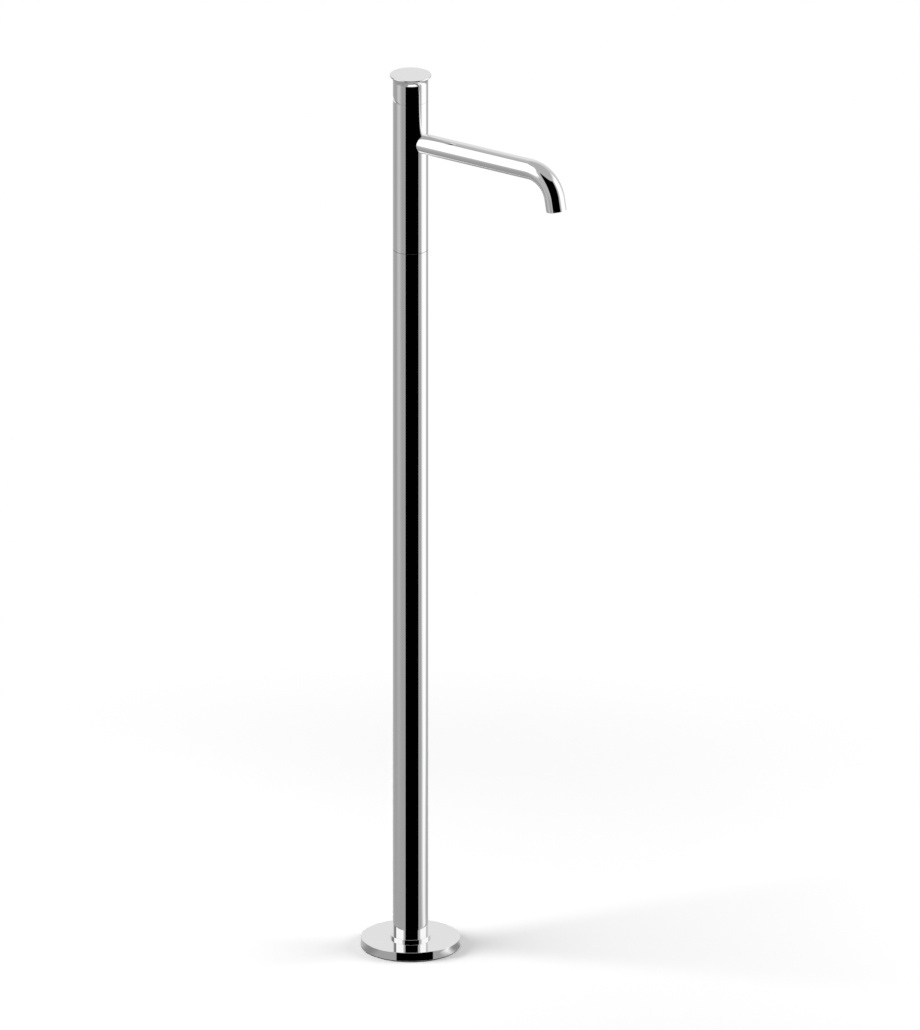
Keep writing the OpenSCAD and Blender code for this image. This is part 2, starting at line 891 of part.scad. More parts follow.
// Carrier on top of the moving disc, with the socket for the stem's ball
module disc_carrier() {
    color(grey_plastic)
        difference() {
            union() {
                bar(moving_disc_d / 2 - 0.2, carrier_z, carrier_block_z);
                translate([-5.5, -carrier_w / 2, carrier_block_z])
                    cube([11, carrier_w, carrier_block_h]);
                at_lugs()
                    bar(0.85, carrier_z - 1, carrier_z + 0.5);
            }
            bar(ball_d / 2 + 0.1, ball_z - ball_d / 2 - 0.1, carrier_top_z + over);
        }
}

// Rotor that the lever turns, with rails that guide the disc carrier
module rotor() {
    rail_y = carrier_w / 2 + 0.1;
    color(white_plastic)
        difference() {
            union() {
                bar(rotor_d / 2, rotor_z, rotor_top_z);
                bar(neck_d / 2, rotor_z, joint_z + neck_above);
                for (side = [0, 1])
                    mirror([0, side, 0])
                        translate([-6, rail_y, carrier_block_z + 0.15])
                            cube([12, 1.7, rotor_z - carrier_block_z]);
            }
            translate([-slot_l / 2, -stem_w / 2 - 0.1, rotor_z - over])
                cube([slot_l, stem_w + 0.2, joint_z + neck_above - rotor_z + 2 * over]);
            translate([0, -pin_l / 2, joint_z])
                rotate([-90, 0, 0])
                    cylinder(r = pin_d / 2 + 0.02, h = pin_l + neck_d);
            ring_groove(rotor_d / 2 - 1.6, rotor_d / 2 + over, 1.7, rotor_z + rotor_h / 2);
        }
}

// Ring round the rotor's collar
module rotor_oring() {
    color(rubber)
        cord_ring(rotor_d / 2 - 0.78, 0.78, rotor_z + rotor_h / 2);
}

// Pin that the lever tilts on
module pivot_pin() {
    color(steel)
        translate([0, -pin_l / 2, joint_z])
            rotate([-90, 0, 0])
                cylinder(r = pin_d / 2, h = pin_l);
}

// Square lever stem with the ball that moves the disc carrier
module lever_stem() {
    eye_z = joint_z - 6;
    color(brass)
        difference() {
            union() {
                translate([0, 0, ball_z])
                    sphere(r = ball_d / 2);
                bar(shank_d / 2, ball_z, eye_z + over);
                translate([-stem_w / 2, -stem_w / 2, eye_z])
                    cube([stem_w, stem_w, joint_z + stem_above - eye_z]);
            }
            translate([0, -stem_w, joint_z])
                rotate([-90, 0, 0])
                    cylinder(r = pin_d / 2 + 0.04, h = 2 * stem_w);
            bar(ball_d, ball_z - ball_d, ball_z - ball_d / 2 + 0.2);
        }
}

// Nut that holds the cartridge down, with four spanner slots
module retaining_nut() {
    color(brass)
        difference() {
            pipe(nut_r, nut_bore_r, nut_z, block_top_z);
            for (i = [0 : 3])
                rotate([0, 0, 90 * i + 45])
                    translate([nut_bore_r + 1.2, -1.5, block_top_z - 2])
                        cube([nut_r, 3, 2 + over]);
        }
}

// Dome between the body and the handle, centred on the pivot
module dome_cap() {
    color(grey_plastic)
        difference() {
            union() {
                translate([0, 0, joint_z])
                    sphere(r = dome_r);
                bar(tube_in_r - 0.1, block_top_z, block_top_z + dome_foot_t);
            }
            translate([0, 0, joint_z])
                sphere(r = dome_bore_r);
            bar(tube_in_r, joint_z - dome_r - over, block_top_z);
            bar(dome_open_d / 2, joint_z, joint_z + dome_r + over);
        }
}

// Handle: lower part like the column, hollow flare and thin disc
module handle() {
    socket_w = stem_w + 0.1;
    color(chrome)
        difference() {
            union() {
                bar(col_r, joint_z, flare_z);
                translate([0, 0, flare_z])
                    rotate_extrude()
                        difference() {
                            square([disc_d / 2, flare_h]);
                            translate([col_r + flare_r, 0])
                                circle(r = flare_r);
                        }
                bar(disc_d / 2, total_h - disc_edge, total_h);
            }
            translate([0, 0, joint_z])
                sphere(r = handle_hollow_r);
            translate([0, 0, joint_z])
                rotate([0, wedge_angle, 0])
                    translate([-2 * col_r, -2 * col_r, -2 * col_r])
                        cube([2 * col_r, 4 * col_r, 2 * col_r]);
            translate([-socket_w / 2, -socket_w / 2, joint_z])
                cube([socket_w, socket_w, stem_above + 0.2]);
            translate([0, 0, grub_z])
                rotate([0, -90, 0])
                    cylinder(r = grub_d / 2 + fit, h = col_r + over);
        }
}

// Grub screw that holds the handle on the stem
module handle_screw() {
    color(steel)
        translate([-stem_w / 2 - 0.05, 0, grub_z])
            rotate([0, -90, 0])
                grub_screw(grub_d, grub_l);
}

// Plug that hides the grub screw, flush with the handle
module screw_plug() {
    color(chrome)
        intersection() {
            translate([-col_r + plug_l, 0, grub_z])
                rotate([0, -90, 0])
                    cylinder(r = grub_d / 2, h = plug_l + over);
            bar(col_r - 0.02, joint_z, total_h);
        }
}

floor_gasket();
mounting_plate();
flange_cover();
flange_oring();
foot_screws();
inlet_block();
inlet_strainers();
check_valves();
column_tube();
hot_hose();
cold_hose();
hose_ferrules();
hose_tails();
hose_washers();
joint_sleeve();
sleeve_orings();
body_shell();
valve_block();
spout_tube();
spout_bush();
spout_nipple();
spout_orings();
spout_lock_screw();
aerator_ring();
aerator_seal();
aerator_body();
aerator_screen();
cartridge_base();
base_seals();
cartridge_housing();
disc_seals();
fixed_disc();
moving_disc();
disc_carrier();
rotor();
rotor_oring();
pivot_pin();
lever_stem();
retaining_nut();
dome_cap();
handle();
handle_screw();
screw_plug();
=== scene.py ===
"""Looks of a floor-standing basin mixer, built around its packed frame.

Every piece is in metres in the frame's own axes: +Z up, the spout along +X, the floor at Z = 0.
"""

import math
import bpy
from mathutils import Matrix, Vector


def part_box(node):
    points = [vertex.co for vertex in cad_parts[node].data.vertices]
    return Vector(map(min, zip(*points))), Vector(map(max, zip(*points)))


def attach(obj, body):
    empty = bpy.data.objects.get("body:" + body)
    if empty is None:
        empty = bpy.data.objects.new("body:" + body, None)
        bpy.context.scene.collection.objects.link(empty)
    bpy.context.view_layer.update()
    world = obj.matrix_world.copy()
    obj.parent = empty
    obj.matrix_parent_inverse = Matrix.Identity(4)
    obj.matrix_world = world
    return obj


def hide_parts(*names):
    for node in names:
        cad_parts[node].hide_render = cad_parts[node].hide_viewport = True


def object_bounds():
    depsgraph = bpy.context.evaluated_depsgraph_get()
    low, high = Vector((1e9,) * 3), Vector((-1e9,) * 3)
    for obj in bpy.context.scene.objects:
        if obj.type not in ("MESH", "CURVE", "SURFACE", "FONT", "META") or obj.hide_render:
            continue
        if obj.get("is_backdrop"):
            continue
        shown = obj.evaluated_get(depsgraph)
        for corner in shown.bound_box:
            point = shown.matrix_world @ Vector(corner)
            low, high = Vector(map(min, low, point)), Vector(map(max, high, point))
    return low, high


bl_info = {
    "name": "Floor-standing basin mixer",
    "version": (1, 0, 0),
    "blender": (4, 5, 0),
    "location": "View3D > Sidebar > Basin mixer",
    "description": "Chrome, brass, plastic and rubber pieces of a floor-standing basin mixer",
    "category": "Object",
}

from typing import NamedTuple

import bpy
import numpy as np
from bpy.props import FloatProperty, FloatVectorProperty, IntProperty, PointerProperty
from bpy.types import Operator, Panel, PropertyGroup
from mathutils import Vector

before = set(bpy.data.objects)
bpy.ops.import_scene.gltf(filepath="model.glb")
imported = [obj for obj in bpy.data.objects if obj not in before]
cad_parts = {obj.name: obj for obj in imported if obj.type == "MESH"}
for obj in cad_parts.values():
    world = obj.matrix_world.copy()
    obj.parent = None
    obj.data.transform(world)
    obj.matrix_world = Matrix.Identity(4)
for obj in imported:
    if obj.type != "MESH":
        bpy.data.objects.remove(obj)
CAD_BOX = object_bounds()

FIXED, LEVER = "fixed_body", "lever_unit"
MM = 0.001
FINISH_NAMES = {
    "chrome": "polished chrome",
    "steel": "stainless steel",
    "brass": "machined brass",
    "rubber": "black rubber",
    "hose_jacket": "braided steel wire",
    "white_plastic": "white moulded plastic",
    "grey_plastic": "grey moulded plastic",
    "ceramic": "lapped ceramic",
}
AXIS_X, AXIS_Y, AXIS_Z = Vector((1, 0, 0)), Vector((0, 1, 0)), Vector((0, 0, 1))


def length(label, text, millimetres):
    """A length property, with its default in millimetres."""
    return FloatProperty(
        name=label, description=text, default=millimetres * MM, unit="LENGTH", subtype="DISTANCE"
    )


def turn(label, text, degrees):
    """An angle property, with its default in degrees."""
    return FloatProperty(
        name=label, description=text, default=math.radians(degrees), unit="ROTATION", subtype="ANGLE"
    )


def level(label, text, value):
    """A plain number."""
    return FloatProperty(name=label, description=text, default=value)


def count(label, text, value):
    """A whole number."""
    return IntProperty(name=label, description=text, default=value, min=1)


def colour(label, text, value):
    """A colour."""
    return FloatVectorProperty(
        name=label, description=text, default=value, size=3, subtype="COLOR", min=0, max=1
    )


def corner_mm(node, which, axis):
    """One coordinate of a node's box in millimetres: which is 0 for the lowest corner."""
    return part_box(node)[which][axis] / MM


class ColumnSizes(PropertyGroup):
    """Column tube and mixer body."""

    radius: length("Radius", "Outer radius of the column", corner_mm("column_tube", 1, 0))
    wall: length("Wall", "Wall of the tubes", 2)
    foot: length("Foot", "Height of the tube's lower end", corner_mm("column_tube", 0, 2))
    seam_low: length("Seam, lower edge", "Top of the column tube", corner_mm("column_tube", 1, 2))
    seam_high: length("Seam, upper edge", "Foot of the mixer body", corner_mm("body_shell", 0, 2))
    top: length("Top", "Top of the mixer body", corner_mm("body_shell", 1, 2))
    sides: count("Sides", "Faces round a turned chrome piece", 256)


class FlangeSizes(PropertyGroup):
    """Floor flange."""

    radius: length("Radius", "Radius of the floor flange", corner_mm("flange_cover", 1, 0))
    bottom: length("Bottom", "Height of the flange's lower edge", corner_mm("flange_cover", 0, 2))
    top: length("Top", "Height of the flange's top face", 12)
    collar: length("Collar radius", "Radius of the collar round the column", 24)
    collar_top: length("Collar top", "Height of that collar's top", corner_mm("flange_cover", 1, 2))
    collar_edge: length("Collar edge", "Rounding of that collar's upper edge", 0.35)
    bore: length("Bore radius", "Radius of the bore round the column", 21.05)
    edge: length("Edge rounding", "Rounding of the flange's upper edge", 0.5)
    low_edge: length("Lower edge rounding", "Rounding of the flange's lower edge", 0.2)
    rim: length("Rim", "Thickness of the flange's rim", 2.5)
    ceiling: length("Ceiling", "Height of the hollow's ceiling", 9.7)
    hub: length("Hub radius", "Radius of the hub inside the flange", 26.6)
    hub_low: length("Hub foot", "Height of the hub's foot", 6)


class SpoutSizes(PropertyGroup):
    """Spout and aerator."""

    radius: length("Radius", "Outer radius of the spout", corner_mm("spout_tube", 1, 1))
    wall: length("Wall", "Wall of the spout", 2)
    height: length("Height", "Height of the spout's centre line", 1016.5)
    root: length("Root", "Where the spout starts inside the body", corner_mm("spout_tube", 0, 0))
    run: length("Run", "Distance from the column's axis to the bend", 173.2)
    bend: length("Bend radius", "Radius of the bend at the centre line", 36)
    bend_turn: turn("Bend angle", "Angle that the spout turns down through", 80)
    tip: length("Tip", "Straight length after the bend", 15)
    edge: length("Edge rounding", "Rounding of the spout's end", 0.3)
    steps: count("Bend steps", "Steps that the bend is made of", 80)
    sides: count("Sides", "Faces round the spout", 160)


class HandleSizes(PropertyGroup):
    """Handle and the dome under it."""

    radius: length("Radius", "Radius of the handle's round part", 21)
    joint: length("Pivot height", "Height of the handle's pivot", 1068)
    top: length("Top", "Height of the disc's top face", corner_mm("handle", 1, 2))
    disc: length("Disc radius", "Radius of the disc", corner_mm("handle", 1, 1))
    disc_edge: length("Disc edge", "Thickness of the disc's edge", 1.7)
    flare: length("Flare", "Height of the hollow flare", 7.3)
    hollow: length("Hollow", "Radius of the ball-shaped hollow", 18.2)
    wedge: turn("Wedge", "Angle of the wedge cut at the rear", 18)
    edge: length("Upper edge", "Rounding of the disc's upper edge", 0.84)
    under_edge: length("Lower edge", "Rounding of the disc's lower edge", 0.84)
    socket: length("Socket", "Width of the square socket", 6.1)
    socket_top: length("Socket top", "Height of the socket's ceiling", 1094.2)
    grub: length("Grub hole", "Radius of the grub screw's hole", 2.05)
    grub_height: length("Grub height", "Height of the grub screw", 1088.8)
    dome: length("Dome radius", "Outer radius of the dome", 17.6)
    dome_wall: length("Dome wall", "Wall of the dome", 1.2)
    dome_open: length("Dome opening", "Radius of the opening in the dome", 11)


class HoseSizes(PropertyGroup):
    """Hoses inside the column."""

    low: length("Lower end", "Height of the hoses' lower ends", corner_mm("hot_hose", 0, 2))
    high: length("Upper end", "Height of the hoses' upper ends", corner_mm("hot_hose", 1, 2))
    low_pitch: length("Lower pitch", "Distance between the hoses at the foot", 19)
    high_pitch: length("Upper pitch", "Distance between the hoses in the body", 17)
    bow: length("Bow", "How far the hoses bow to the rear", 3)
    bore: length("Bore radius", "Radius of the lining's bore", 3.2)
    lining: length("Lining radius", "Outer radius of the rubber lining", 3.95)
    braid: length("Braid radius", "Radius at the middle of the braid", 4.3)
    wave: length("Braid wave", "How far a strand moves out and in as it crosses others", 0.16)
    strand_width: length("Strand width", "Width of a strand", 2.3)
    strand_depth: length("Strand depth", "Thickness of a strand", 0.22)
    strands: count("Strands", "Strands of the braid in each direction", 8)
    turns: count("Turns", "Times that a strand winds round its hose", 24)
    ferrule: length("Ferrule radius", "Outer radius of the crimped ferrules", 5.95)
    ferrule_length: length("Ferrule length", "Length of the crimped ferrules", 16)
    hexagon: length("Hexagon", "Width across the hexagons' flats", 11)
    hexagon_height: length("Hexagon height", "Height of the hexagons", 5)
    end: length("End length", "Length of a threaded end past its hose", 14.5)
    thread: length("Thread radius", "Outer radius of the threads", 4.95)
    thread_pitch: length("Thread pitch", "Pitch of the threads", 1)


class AeratorSizes(PropertyGroup):
    """Aerator in the spout's end."""

    radius: length("Radius", "Outer radius of the aerator", 9.25)
    wall: length("Wall", "Wall of the aerator", 1.5)
    recess: length("Recess", "Depth of the aerator behind the spout's end", 1.2)
    height: length("Height", "Height of the aerator", 7)
    ledge: length("Ledge", "Height of the ledge that the honeycomb stands on", 1.5)
    cell: length("Cell pitch", "Distance between the honeycomb's cells", 1.5)
    cell_wall: length("Cell wall", "Wall between the cells", 0.26)
    teeth: count("Teeth", "Teeth for the key", 20)


class FinishColours(PropertyGroup):
    """Colours of the finishes."""

    chrome: colour("Chrome", "Polished chrome plating", (0.88, 0.88, 0.88))
    steel: colour("Steel", "Stainless steel", (0.62, 0.62, 0.63))
    brass: colour("Brass", "Machined brass", (0.80, 0.62, 0.33))
    rubber: colour("Rubber", "Black rubber", (0.022, 0.022, 0.024))
    white_plastic: colour("White plastic", "Moulded plastic", (0.83, 0.83, 0.80))
    grey_plastic: colour("Grey plastic", "Moulded plastic", (0.20, 0.21, 0.23))
    ceramic: colour("Ceramic", "Lapped ceramic", (0.86, 0.84, 0.79))


class StudioSettings(PropertyGroup):
    """Camera, floor and light."""

    azimuth: turn("Camera azimuth", "Angle of the camera round the mixer", 35)
    elevation: turn("Camera elevation", "Angle of the camera above the floor", 20)
    view_height: length("View height", "Height of the picture in the object's plane", 1222)
    aim_side: length("Aim, sideways", "How far right of the column the camera aims", 58.7)
    aim_up: length("Aim, upwards", "How far above the flange the camera aims", 510.8)
    softbox: level("Softboxes", "Brightness of the softboxes in the chrome", 1.18)
    wall_back: level("Wall behind", "Brightness of the wall behind the mixer", 0.835)
    wall_side: level("Walls beside", "Brightness of the walls at the sides", 0.52)
    ceiling: level("Ceiling", "Brightness of the ceiling", 0.48)
    low_back: level("Low, behind", "Brightness below the wall behind", 0.566)
    low_side: level("Low, beside", "Brightness below the side walls", 0.387)
    low_deep: level("Deep below", "Brightness well below the walls", 0.36)
    ambient: level("Ambient light", "Plain light from all round", 0.32)
    lamp_left: level("Left lamp", "Power of the left lamp in watts", 86)
    lamp_right: level("Right lamp", "Power of the right lamp in watts", 50)


GROUPS = {
    "mixer_column": ColumnSizes,
    "mixer_flange": FlangeSizes,
    "mixer_spout": SpoutSizes,
    "mixer_handle": HandleSizes,
    "mixer_hoses": HoseSizes,
    "mixer_aerator": AeratorSizes,
    "mixer_colours": FinishColours,
    "mixer_studio": StudioSettings,
}


def arc(centre_r, centre_z, radius, start, end, steps):
    """Points of an arc in an outline's plane, from one angle to the other in degrees."""
    return [
        (centre_r + radius * math.cos(a), centre_z + radius * math.sin(a))
        for a in np.radians(np.linspace(start, end, steps + 1))
    ]


def outline(*corners):
    """An outline of (radius, height) points from its corners, anticlockwise with the radius to the right.

    A corner is (radius, height), or (radius, height, rounding) where it is rounded or filleted.
    """
    points = []
    for i, corner in enumerate(corners):
        here = np.array(corner[:2], float)
        if len(corner) == 2:
            points.append(tuple(here))
            continue
        rounding = corner[2]
        to_last = np.array(corners[i - 1][:2], float) - here
        to_next = np.array(corners[(i + 1) % len(corners)][:2], float) - here
        to_last /= np.linalg.norm(to_last)
        to_next /= np.linalg.norm(to_next)
        half = math.acos(np.clip(to_last @ to_next, -1, 1)) / 2
        middle = to_last + to_next
        centre = here + middle / np.linalg.norm(middle) * rounding / math.sin(half)
        first = here + to_last * rounding / math.tan(half) - centre
        last = here + to_next * rounding / math.tan(half) - centre
        start = math.atan2(first[1], first[0])
        sweep = (math.atan2(last[1], last[0]) - start + math.pi) % (2 * math.pi) - math.pi
        steps = 4 if rounding < 1 * MM else 16
        points += arc(
            centre[0], centre[1], rounding, math.degrees(start), math.degrees(start + sweep), steps
        )
    return points


def upright(way):
    """The frame of a piece turned about the column's axis: centre, two side directions, forward."""
    return Vector((0, 0, way)), AXIS_X, AXIS_Y, AXIS_Z


def to_rear(height):
    """The frames along a level line, by the distance to the rear of the column's axis."""
    return lambda way: (Vector((-way, 0, height)), AXIS_Y, -AXIS_Z, -AXIS_X)


def along_spout(spout):
    """The frames along the spout's centre line, by the distance from the column's axis."""
    arc_length = spout.bend * spout.bend_turn
    centre = Vector((spout.run, 0, spout.height - spout.bend))

    def place(way):
        bent = min(max((way - spout.run) / arc_length, 0), 1) * spout.bend_turn
        outward = Vector((math.sin(bent), 0, math.cos(bent)))
        forward = Vector((math.cos(bent), 0, -math.sin(bent)))
        past = max(way - spout.run - arc_length, 0) + min(way - spout.run, 0)
        return centre + outward * spout.bend + forward * past, outward, -AXIS_Y, forward

    return place


def new_piece(name, points, faces):
    """A mesh object in the scene, smooth, with its place in its mesh."""
    mesh = bpy.data.meshes.new(name)
    mesh.from_pydata([tuple(p) for p in points], [], faces)
    mesh.polygons.foreach_set("use_smooth", [True] * len(mesh.polygons))
    mesh.update()
    piece = bpy.data.objects.new(name, mesh)
    bpy.context.scene.collection.objects.link(piece)
    return piece


def outline_normals(rings, poles, sharp):
    """The normals at the start and at the end of each stretch of an outline.

    Where two stretches meet at less than sharp degrees, they share one normal, so the skin
    runs on smoothly. A stretch much longer than its neighbour keeps its own normal there, and
    the neighbour, which is a rounding, follows it.
    """
    ahead = np.roll(rings, -1, 0) - rings
    stretch = np.linalg.norm(ahead, axis=1)
    facing = np.stack([ahead[:, 1], -ahead[:, 0]], 1) / np.maximum(stretch, 1e-12)[:, None]
    leaving, arriving = facing.copy(), facing.copy()
    for i in range(1, len(rings) - 1) if poles else range(len(rings)):
        before, after = facing[i - 1], facing[i]
        if before @ after < math.cos(math.radians(sharp)):
            continue
        if stretch[i - 1] > 3 * stretch[i]:
            shared = before
        elif stretch[i] > 3 * stretch[i - 1]:
            shared = after
        else:
            shared = (before + after) / np.linalg.norm(before + after)
        leaving[i] = arriving[i - 1] = shared
    return leaving, arriving


def turned(name, rings, sides, place=upright, sharp=35):
    """A turned or swept closed skin, each corner with the true normal of its outline.

    rings are the (radius, way) points of a closed outline, or of one that starts and ends on
    the axis.
    """
    rings = np.array(rings, float)
    poles = rings[0, 0] == 0 and rings[-1, 0] == 0
    leaving, arriving = outline_normals(rings, poles, sharp)
    angles = np.arange(sides) * 2 * math.pi / sides
    points, first, spokes, forwards = [], [], [], []
    for radius, way in rings:
        centre, side, other, forward = place(way)
        spokes.append(np.outer(np.cos(angles), side) + np.outer(np.sin(angles), other))
        forwards.append(np.array(forward))
        first.append(len(points))
        points.extend(np.array(centre) + radius * spokes[-1][: sides if radius > 0 else 1])

    faces, normals = [], []
    for i in range(len(rings) - 1 if poles else len(rings)):
        j = (i + 1) % len(rings)
        start, end = leaving[i], arriving[i]
        for k in range(sides):
            n = (k + 1) % sides
            corners = [(i, k, start), (i, n, start), (j, n, end), (j, k, end)]
            if rings[i, 0] == 0:
                del corners[1]
            elif rings[j, 0] == 0:
                del corners[2]
            faces.append([first[at] + (spoke if rings[at, 0] else 0) for at, spoke, _ in corners])
            for at, spoke, (outward, along) in corners:
                normals.append(outward * spokes[at][spoke] + along * forwards[at])
    piece = new_piece(name, points, faces)
    piece.data.normals_split_custom_set([tuple(n) for n in normals])
    return piece


def rod(name, radius, reach, place, sides=48):
    """A plain rod, used only to cut with."""
    return turned(name, [(0, 0), (radius, 0), (radius, reach), (0, reach)], sides, place)


def box_piece(name, low, high):
    """A plain box, used only to cut with."""
    xs, ys, zs = zip(low, high)
    points = [(x, y, z) for x in xs for y in ys for z in zs]
    faces = [(0, 1, 3, 2), (4, 6, 7, 5), (0, 4, 5, 1), (2, 3, 7, 6), (0, 2, 6, 4), (1, 5, 7, 3)]
    return new_piece(name, points, faces)


def settle(piece):
    """Turns a piece's modifiers into its mesh."""
    graph = bpy.context.evaluated_depsgraph_get()
    mesh = bpy.data.meshes.new_from_object(piece.evaluated_get(graph))
    mesh.name = piece.name
    piece.modifiers.clear()
    piece.data = mesh
    return piece


def carve(piece, *cutters):
    """Cuts the cutters out of the piece and throws them away."""
    for cutter in cutters:
        cut = piece.modifiers.new("cut", "BOOLEAN")
        cut.operation, cut.solver, cut.object = "DIFFERENCE", "EXACT", cutter
    settle(piece)
    for cutter in cutters:
        bpy.data.objects.remove(cutter)


def off_core(at, core, radius):
    """How far points are from a surface at a radius round its core, and its normal there."""
    out = at - core
    reach = np.linalg.norm(out, axis=1)
    return reach - radius, out / np.maximum(reach, 1e-9)[:, None]


def barrel(radius, centre=(0, 0, 0), axis=(0, 0, 1)):
    """A round wall about an axis, for true_normals."""
    centre, axis = np.array(centre, float), np.array(axis, float)
    return lambda at: off_core(at, centre + np.outer((at - centre) @ axis, axis), radius)


def ball(radius, centre):
    """A ball, for true_normals."""
    return lambda at: off_core(at, np.array(centre, float), radius)


def ring(big, small, height):
    """A ring about the column's axis, for true_normals."""

    def surface(at):
        spoke = at[:, :2] / np.maximum(np.hypot(at[:, 0], at[:, 1]), 1e-9)[:, None]
        return off_core(at, np.column_stack([spoke * big, np.full(len(at), height)]), small)

    return surface


def true_normals(piece, *surfaces, near=0.008 * MM, alike=0.9):
    """Gives each face corner the normal of the round surface that it lies on, or its face's own.

    A corner lies on a surface when it is near it and when their normals are alike.
    """
    mesh = piece.data
    mesh.polygons.foreach_set("use_smooth", [True] * len(mesh.polygons))
    corners, sizes = np.empty(len(mesh.loops), int), np.empty(len(mesh.polygons), int)
    spots, flat = np.empty(len(mesh.vertices) * 3), np.empty(len(mesh.polygons) * 3)
    mesh.loops.foreach_get("vertex_index", corners)
    mesh.vertices.foreach_get("co", spots)
    mesh.polygons.foreach_get("loop_total", sizes)
    mesh.polygons.foreach_get("normal", flat)
    at = spots.reshape(-1, 3)[corners]
    flat = np.repeat(flat.reshape(-1, 3), sizes, 0)
    best, normals = np.full(len(at), alike), flat.copy()
    for surface in surfaces:
        off, facing = surface(at)
        facing = facing * np.sign((facing * flat).sum(1))[:, None]
        fit = (facing * flat).sum(1)
        use = (np.abs(off) < near) & (fit > best)
        normals[use], best[use] = facing[use], fit[use]
    mesh.normals_split_custom_set([tuple(n) for n in normals])
    return piece


class Value:
    """A node's output, which counts like a number: sums on it add Math nodes to its tree."""

    def __init__(self, node, output=0):
        self.node, self.output = node, output

    def also(self, output):
        """Another output of the same node."""
        return Value(self.node, output)

    def feed(self, socket):
        """Links this value to a node's input."""
        self.node.id_data.links.new(self.node.outputs[self.output], socket)

    def maths(self, operation, *others):
        """A Math node's result, with this value first."""
        inputs = dict(enumerate((self, *others)))
        return add(self.node.id_data, "ShaderNodeMath", inputs, operation=operation)

    def __add__(self, other):
        return self.maths("ADD", other)

    def __sub__(self, other):
        return self.maths("SUBTRACT", other)

    def __rsub__(self, other):
        return self.maths("MULTIPLY_ADD", -1.0, other)

    def __mul__(self, other):
        return self.maths("MULTIPLY", other)

    def __truediv__(self, other):
        return self.maths("DIVIDE", other)

    def __abs__(self):
        return self.maths("ABSOLUTE")

    def between(self, low, high, to_low=0.0, to_high=1.0, smooth=False):
        """A Map Range node's result, held at its two ends."""
        inputs = {0: self, 1: low, 2: high, 3: to_low, 4: to_high}
        kind = "SMOOTHSTEP" if smooth else "LINEAR"
        return add(self.node.id_data, "ShaderNodeMapRange", inputs, interpolation_type=kind)


def add(tree, kind, inputs=None, output=0, **settings):
    """Adds a node and gives one of its outputs; an input is a number, a colour or a Value."""
    node = tree.nodes.new(kind)
    for key, value in settings.items():
        setattr(node, key, value)
    for key, value in (inputs or {}).items():
        if isinstance(value, Value):
            value.feed(node.inputs[key])
        else:
            node.inputs[key].default_value = value
    return Value(node, output)


def blend(tree, factor, low, high):
    """A number that goes from one to another as the factor goes from 0 to 1."""
    inputs = {"Factor": factor, "A": low, "B": high}
    return add(tree, "ShaderNodeMix", inputs, output="Result")


class Maker:
    """A Geometry Nodes tree with a named input for each size, and the piece that it makes."""

    def __init__(self, name, **sizes):
        self.sizes = {label.replace("_", " "): value for label, value in sizes.items()}
        self.tree = bpy.data.node_groups.new(name, "GeometryNodeTree")
        sockets = self.tree.interface
        sockets.new_socket("Geometry", in_out="INPUT", socket_type="NodeSocketGeometry")
        for label, value in self.sizes.items():
            kind = "NodeSocketInt" if isinstance(value, int) else "NodeSocketFloat"
            sockets.new_socket(label, in_out="INPUT", socket_type=kind)
        sockets.new_socket("Geometry", in_out="OUTPUT", socket_type="NodeSocketGeometry")
        self.size = self.add("NodeGroupInput").also

    def add(self, kind, inputs=None, **settings):
        """Adds a node."""
        return add(self.tree, kind, inputs, **settings)

    def spot(self):
        """The place of each point."""
        return self.add("GeometryNodeInputPosition")

    def vector(self, x=0.0, y=0.0, z=0.0):
        """A vector from its three parts."""
        return self.add("ShaderNodeCombineXYZ", {0: x, 1: y, 2: z})

    def circle(self, points, radius):
        """A circle about the origin."""
        inputs = {"Resolution": points, "Radius": radius}
        return self.add("GeometryNodeCurvePrimitiveCircle", inputs)

    def spiral(self, points, turns, radius, tall, reverse=False):
        """A spiral that winds up from the floor about the origin."""
        inputs = {"Resolution": points, "Rotations": turns, "Height": tall, "Reverse": reverse}
        inputs |= {"Start Radius": radius, "End Radius": radius}
        return self.add("GeometryNodeCurveSpiral", inputs)

    def swept(self, curve, profile):
        """A profile swept along a curve."""
        inputs = {"Curve": curve, "Profile Curve": profile, "Fill Caps": True}
        return self.add("GeometryNodeCurveToMesh", inputs)

    def wound(self, curve, profile):
        """A profile swept along a curve that winds about an upright axis."""
        return self.swept(self.add("GeometryNodeSetCurveNormal", {"Curve": curve}, mode="Z_UP"), profile)

    def moved(self, shape, **changes):
        """A shape with a new Scale, Rotation or Translation."""
        return self.add("GeometryNodeTransform", {"Geometry": shape, **changes})

    def set_out(self, points, item, **changes):
        """Copies of an item on points."""
        inputs = {"Points": points, "Instance": item, **changes}
        return self.add("GeometryNodeInstanceOnPoints", inputs)

    def joined(self, *shapes):
        """Several shapes as one."""
        both = self.add("GeometryNodeJoinGeometry")
        for shape in shapes:
            shape.feed(both.node.inputs[0])
        return both

    def make(self, shape, slot, piece):
        """Ends the tree, runs it on a piece and keeps the plain mesh."""
        shape = self.add("GeometryNodeRealizeInstances", {"Geometry": shape})
        inputs = {"Geometry": shape, "Material": finish_of(slot)}
        shape = self.add("GeometryNodeSetMaterial", inputs)
        self.add("NodeGroupOutput", {"Geometry": shape})
        maker = piece.modifiers.new("maker", "NODES")
        maker.node_group = self.tree
        for socket in self.tree.interface.items_tree:
            if socket.name in self.sizes:
                maker[socket.identifier] = self.sizes[socket.name]
        return settle(piece)


